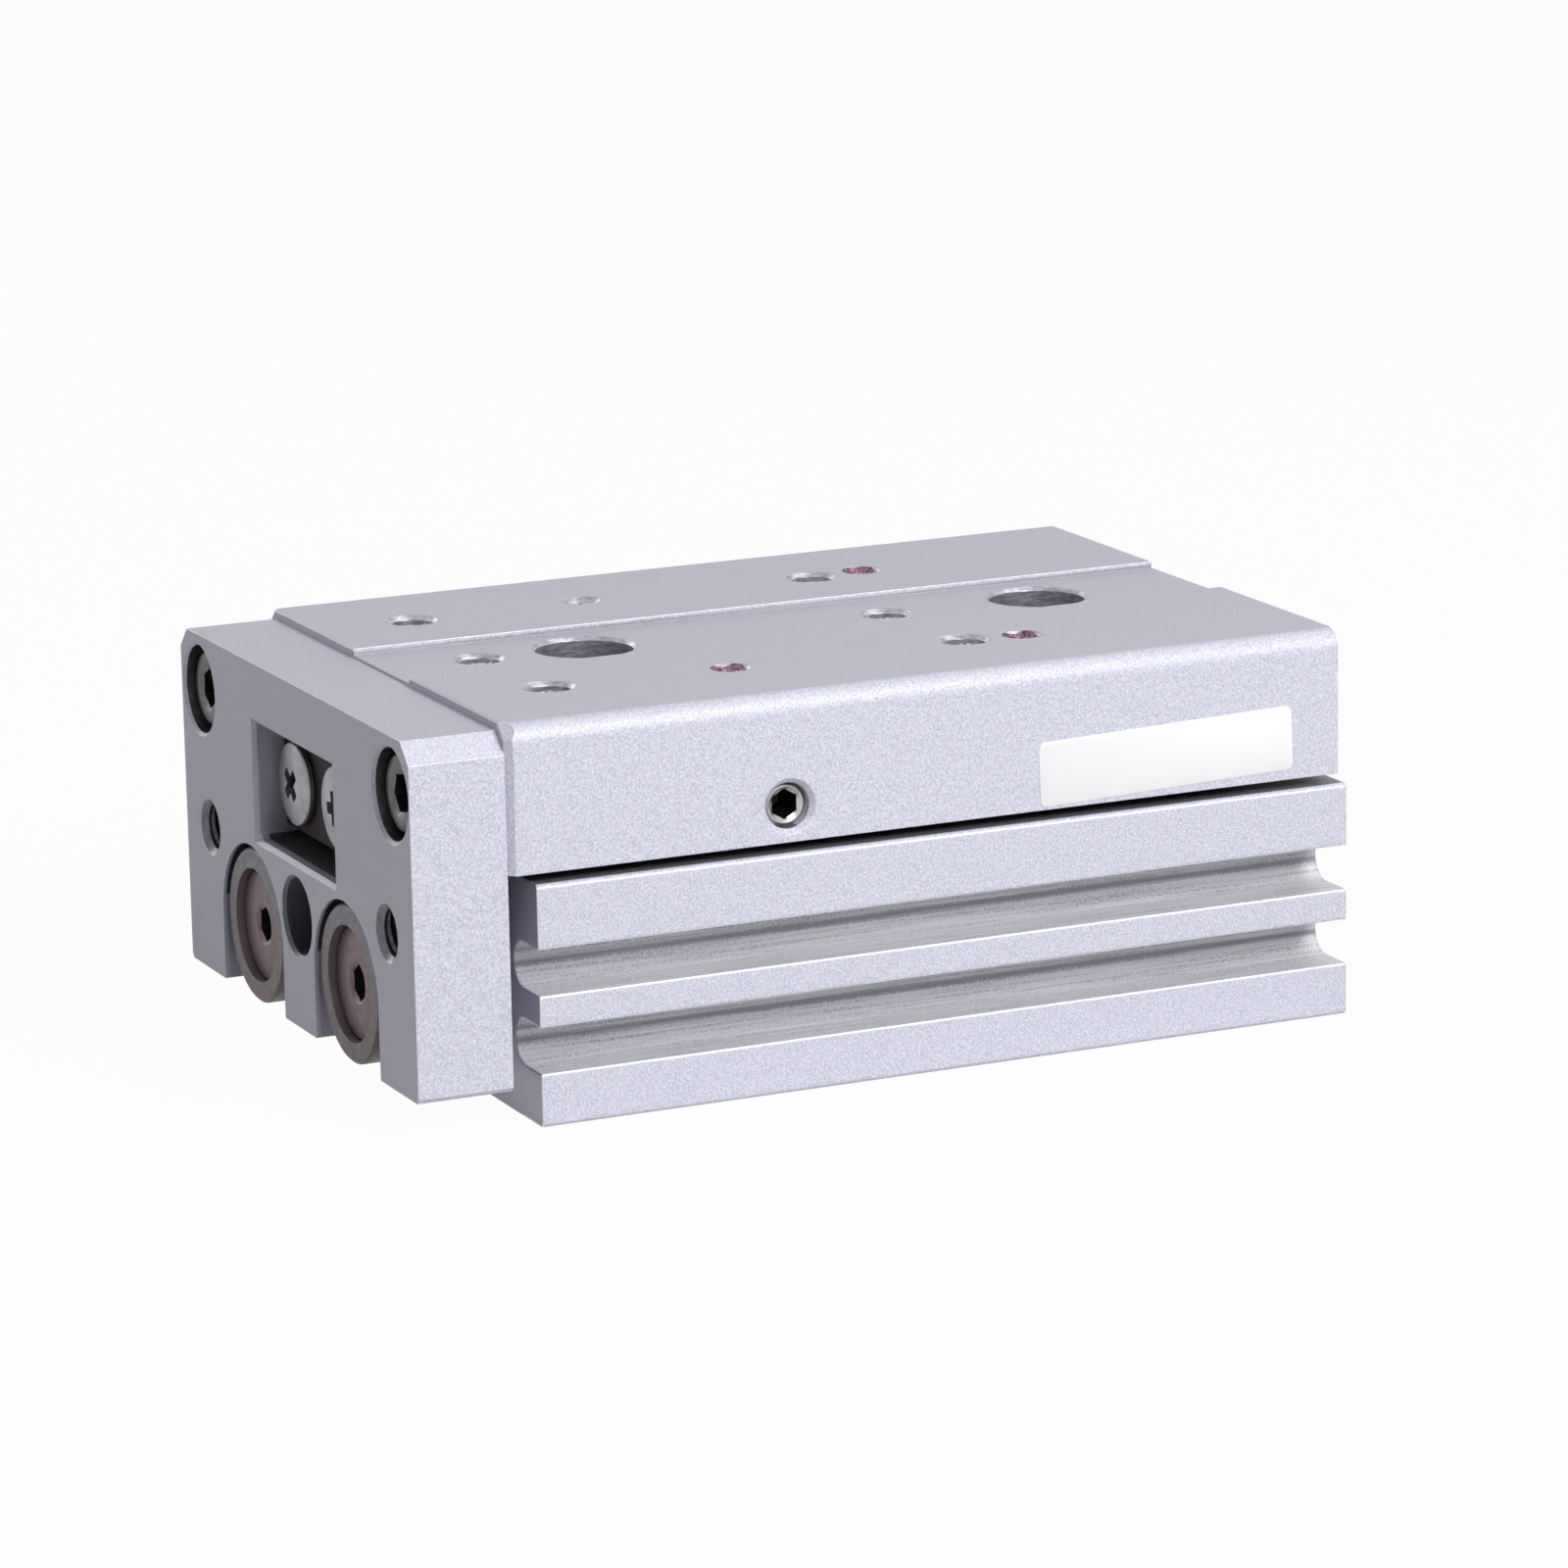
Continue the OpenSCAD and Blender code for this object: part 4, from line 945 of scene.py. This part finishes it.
# The bronze-toned plating is a dull brown that shows the rings of the facing cut.
bronze_finish = turned_metal("bronze_toned_screw", BRONZE_TONE, BRONZE_TONE_DARK, 0.42,
                             metallic=0.7, pitch=FLAT_SCREW_PITCH)
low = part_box("rod_end_screws")[0]
ends = screws("rod_end_flat_screws",
              socket_head_screw(6.2 * MM, 2.55 * MM, 3.6 * MM, 3 * MM, 17.9 * MM, 0.15 * MM),
              [facing((side * BORE_X, low.y + FLAT_SCREW_SUNK, BORE_Z), (0, -1, 0), turn)
               for side, turn in ((-1, 26), (1, 32))], bronze_finish, socket_shade_finish)
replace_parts(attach(ends, "table"), "rod_end_screws")


# ---- Roller cages ----------------------------------------------------------------------
# A stamped brass strip in each V groove carries eleven hardened rollers, crossed at right
# angles one after the other. The cages travel half as far as the table.

CAGE_BRASS = "#b8924f"
CAGE_BRASS_DARK = "#97763e"
ROLLER = "#a9a9ae"
ROLLER_DARK = "#97979d"

# Stamped brass is yellow and cloudy; lapped rollers are smooth, without a grinding line.
cage_finish = plated_steel("stamped_cage_brass", CAGE_BRASS, CAGE_BRASS_DARK, 0.3)
roller_finish = ground_steel("lapped_roller_steel", ROLLER, ROLLER_DARK, line=0.15 * MM,
                             rough=0.14, stretch=(1, 1, 1))
for side in ("left", "right"):
    dress(side + "_cage", cage_finish)
    dress(side + "_rollers", roller_finish)


# ---- Floor, light and camera ---------------------------------------------------------------
# A white table top in a white room, with a large soft lamp over the right side, a weaker one
# above and a low fill from the left. The floor and the room look white and keep the shadow.

FLOOR_WHITE = "#cfcfd1"
FLOOR_HALF = 6.0
FLOOR_GAP = 0.05 * MM
GLOW_SHARE = 0.97
ROOM_LIGHT = 0.02
WHITE = (1, 1, 1, 1)


def seen_as_it_is(tree):
    """1 for rays that show a thing to the eye, straight or by a mirror or glass, else 0."""
    path = add(tree, "LightPath").outputs
    seen = add(tree, "Math", {0: path["Is Camera Ray"], 1: path["Is Glossy Ray"]},
               operation="ADD", use_clamp=True).outputs[0]
    return add(tree, "Math", {0: seen, 1: path["Is Transmission Ray"]},
               operation="ADD", use_clamp=True).outputs[0]


floor_mesh = bpy.data.meshes.new("studio_floor")
bm = bmesh.new()
bmesh.ops.create_grid(bm, x_segments=1, y_segments=1, size=FLOOR_HALF)
bm.to_mesh(floor_mesh)
bm.free()
floor = bpy.data.objects.new("studio_floor", floor_mesh)
floor.location = (0, 0, -FLOOR_GAP)
bpy.context.scene.collection.objects.link(floor)
white = bpy.data.materials.new("white_table_top")
white.use_nodes = True
tree = white.node_tree
tree.nodes.clear()
share = add(tree, "Math", {0: seen_as_it_is(tree), 1: GLOW_SHARE},
            operation="MULTIPLY").outputs[0]
paint = add(tree, "BsdfDiffuse", {"Color": linear(FLOOR_WHITE)})
glow = add(tree, "Emission", {"Color": WHITE, "Strength": 1.0})
both = add(tree, "MixShader", {0: share, 1: paint.outputs[0], 2: glow.outputs[0]})
add(tree, "OutputMaterial", {"Surface": both.outputs[0]})
floor_mesh.materials.append(white)

world = bpy.data.worlds.new("white_room")
bpy.context.scene.world = world
world.use_nodes = True
tree = world.node_tree
tree.nodes.clear()
strength = add(tree, "MapRange", {"Value": seen_as_it_is(tree), "To Min": ROOM_LIGHT,
                                  "To Max": 1.0}).outputs["Result"]
room = add(tree, "Background", {"Color": WHITE, "Strength": strength})
add(tree, "OutputWorld", {"Surface": room.outputs[0]})


def soft_lamp(name, place, aim, width, height, watts):
    """A rectangular lamp aimed at a point on the object."""
    data = bpy.data.lights.new(name, "AREA")
    data.shape = "RECTANGLE"
    data.size, data.size_y, data.energy = width, height, watts
    lamp = bpy.data.objects.new(name, data)
    lamp.location = place
    lamp.rotation_mode = "QUATERNION"
    lamp.rotation_quaternion = (Vector(aim) - Vector(place)).to_track_quat("-Z", "Y")
    bpy.context.scene.collection.objects.link(lamp)


soft_lamp("key_lamp", (0.85, 0.15, 0.6), (0, 0, 0.02), 0.6, 0.4, 9.4)
soft_lamp("top_lamp", (0.2, 0.5, 0.9), (0, 0, 0.04), 0.7, 0.5, 1.8)
soft_lamp("left_fill", (-0.9, -0.4, 0.3), (0, 0, 0.02), 0.6, 0.4, 2.0)

CAMERA_PLACE = (0.655462, -0.293935, 0.192851)
RIGHT = Vector((0.4167323, 0.90884708, -0.01819815))
DOWN = Vector((0.19909713, -0.11078838, -0.97369722))
AHEAD = Vector((-0.88695802, 0.40214788, -0.22711794))
SENSOR_W = 36
FOCAL_LENGTH = 150.6
camera_data = bpy.data.cameras.new("camera")
camera_data.sensor_width = SENSOR_W
camera_data.lens = FOCAL_LENGTH
camera_data.clip_start, camera_data.clip_end = 0.01, 50
camera = bpy.data.objects.new("camera", camera_data)
turn = Matrix((RIGHT, -DOWN, -AHEAD)).transposed().to_4x4()
camera.matrix_world = Matrix.Translation(CAMERA_PLACE) @ turn
bpy.context.scene.collection.objects.link(camera)
bpy.context.scene.camera = camera
bpy.context.scene.view_settings.view_transform = "Standard"
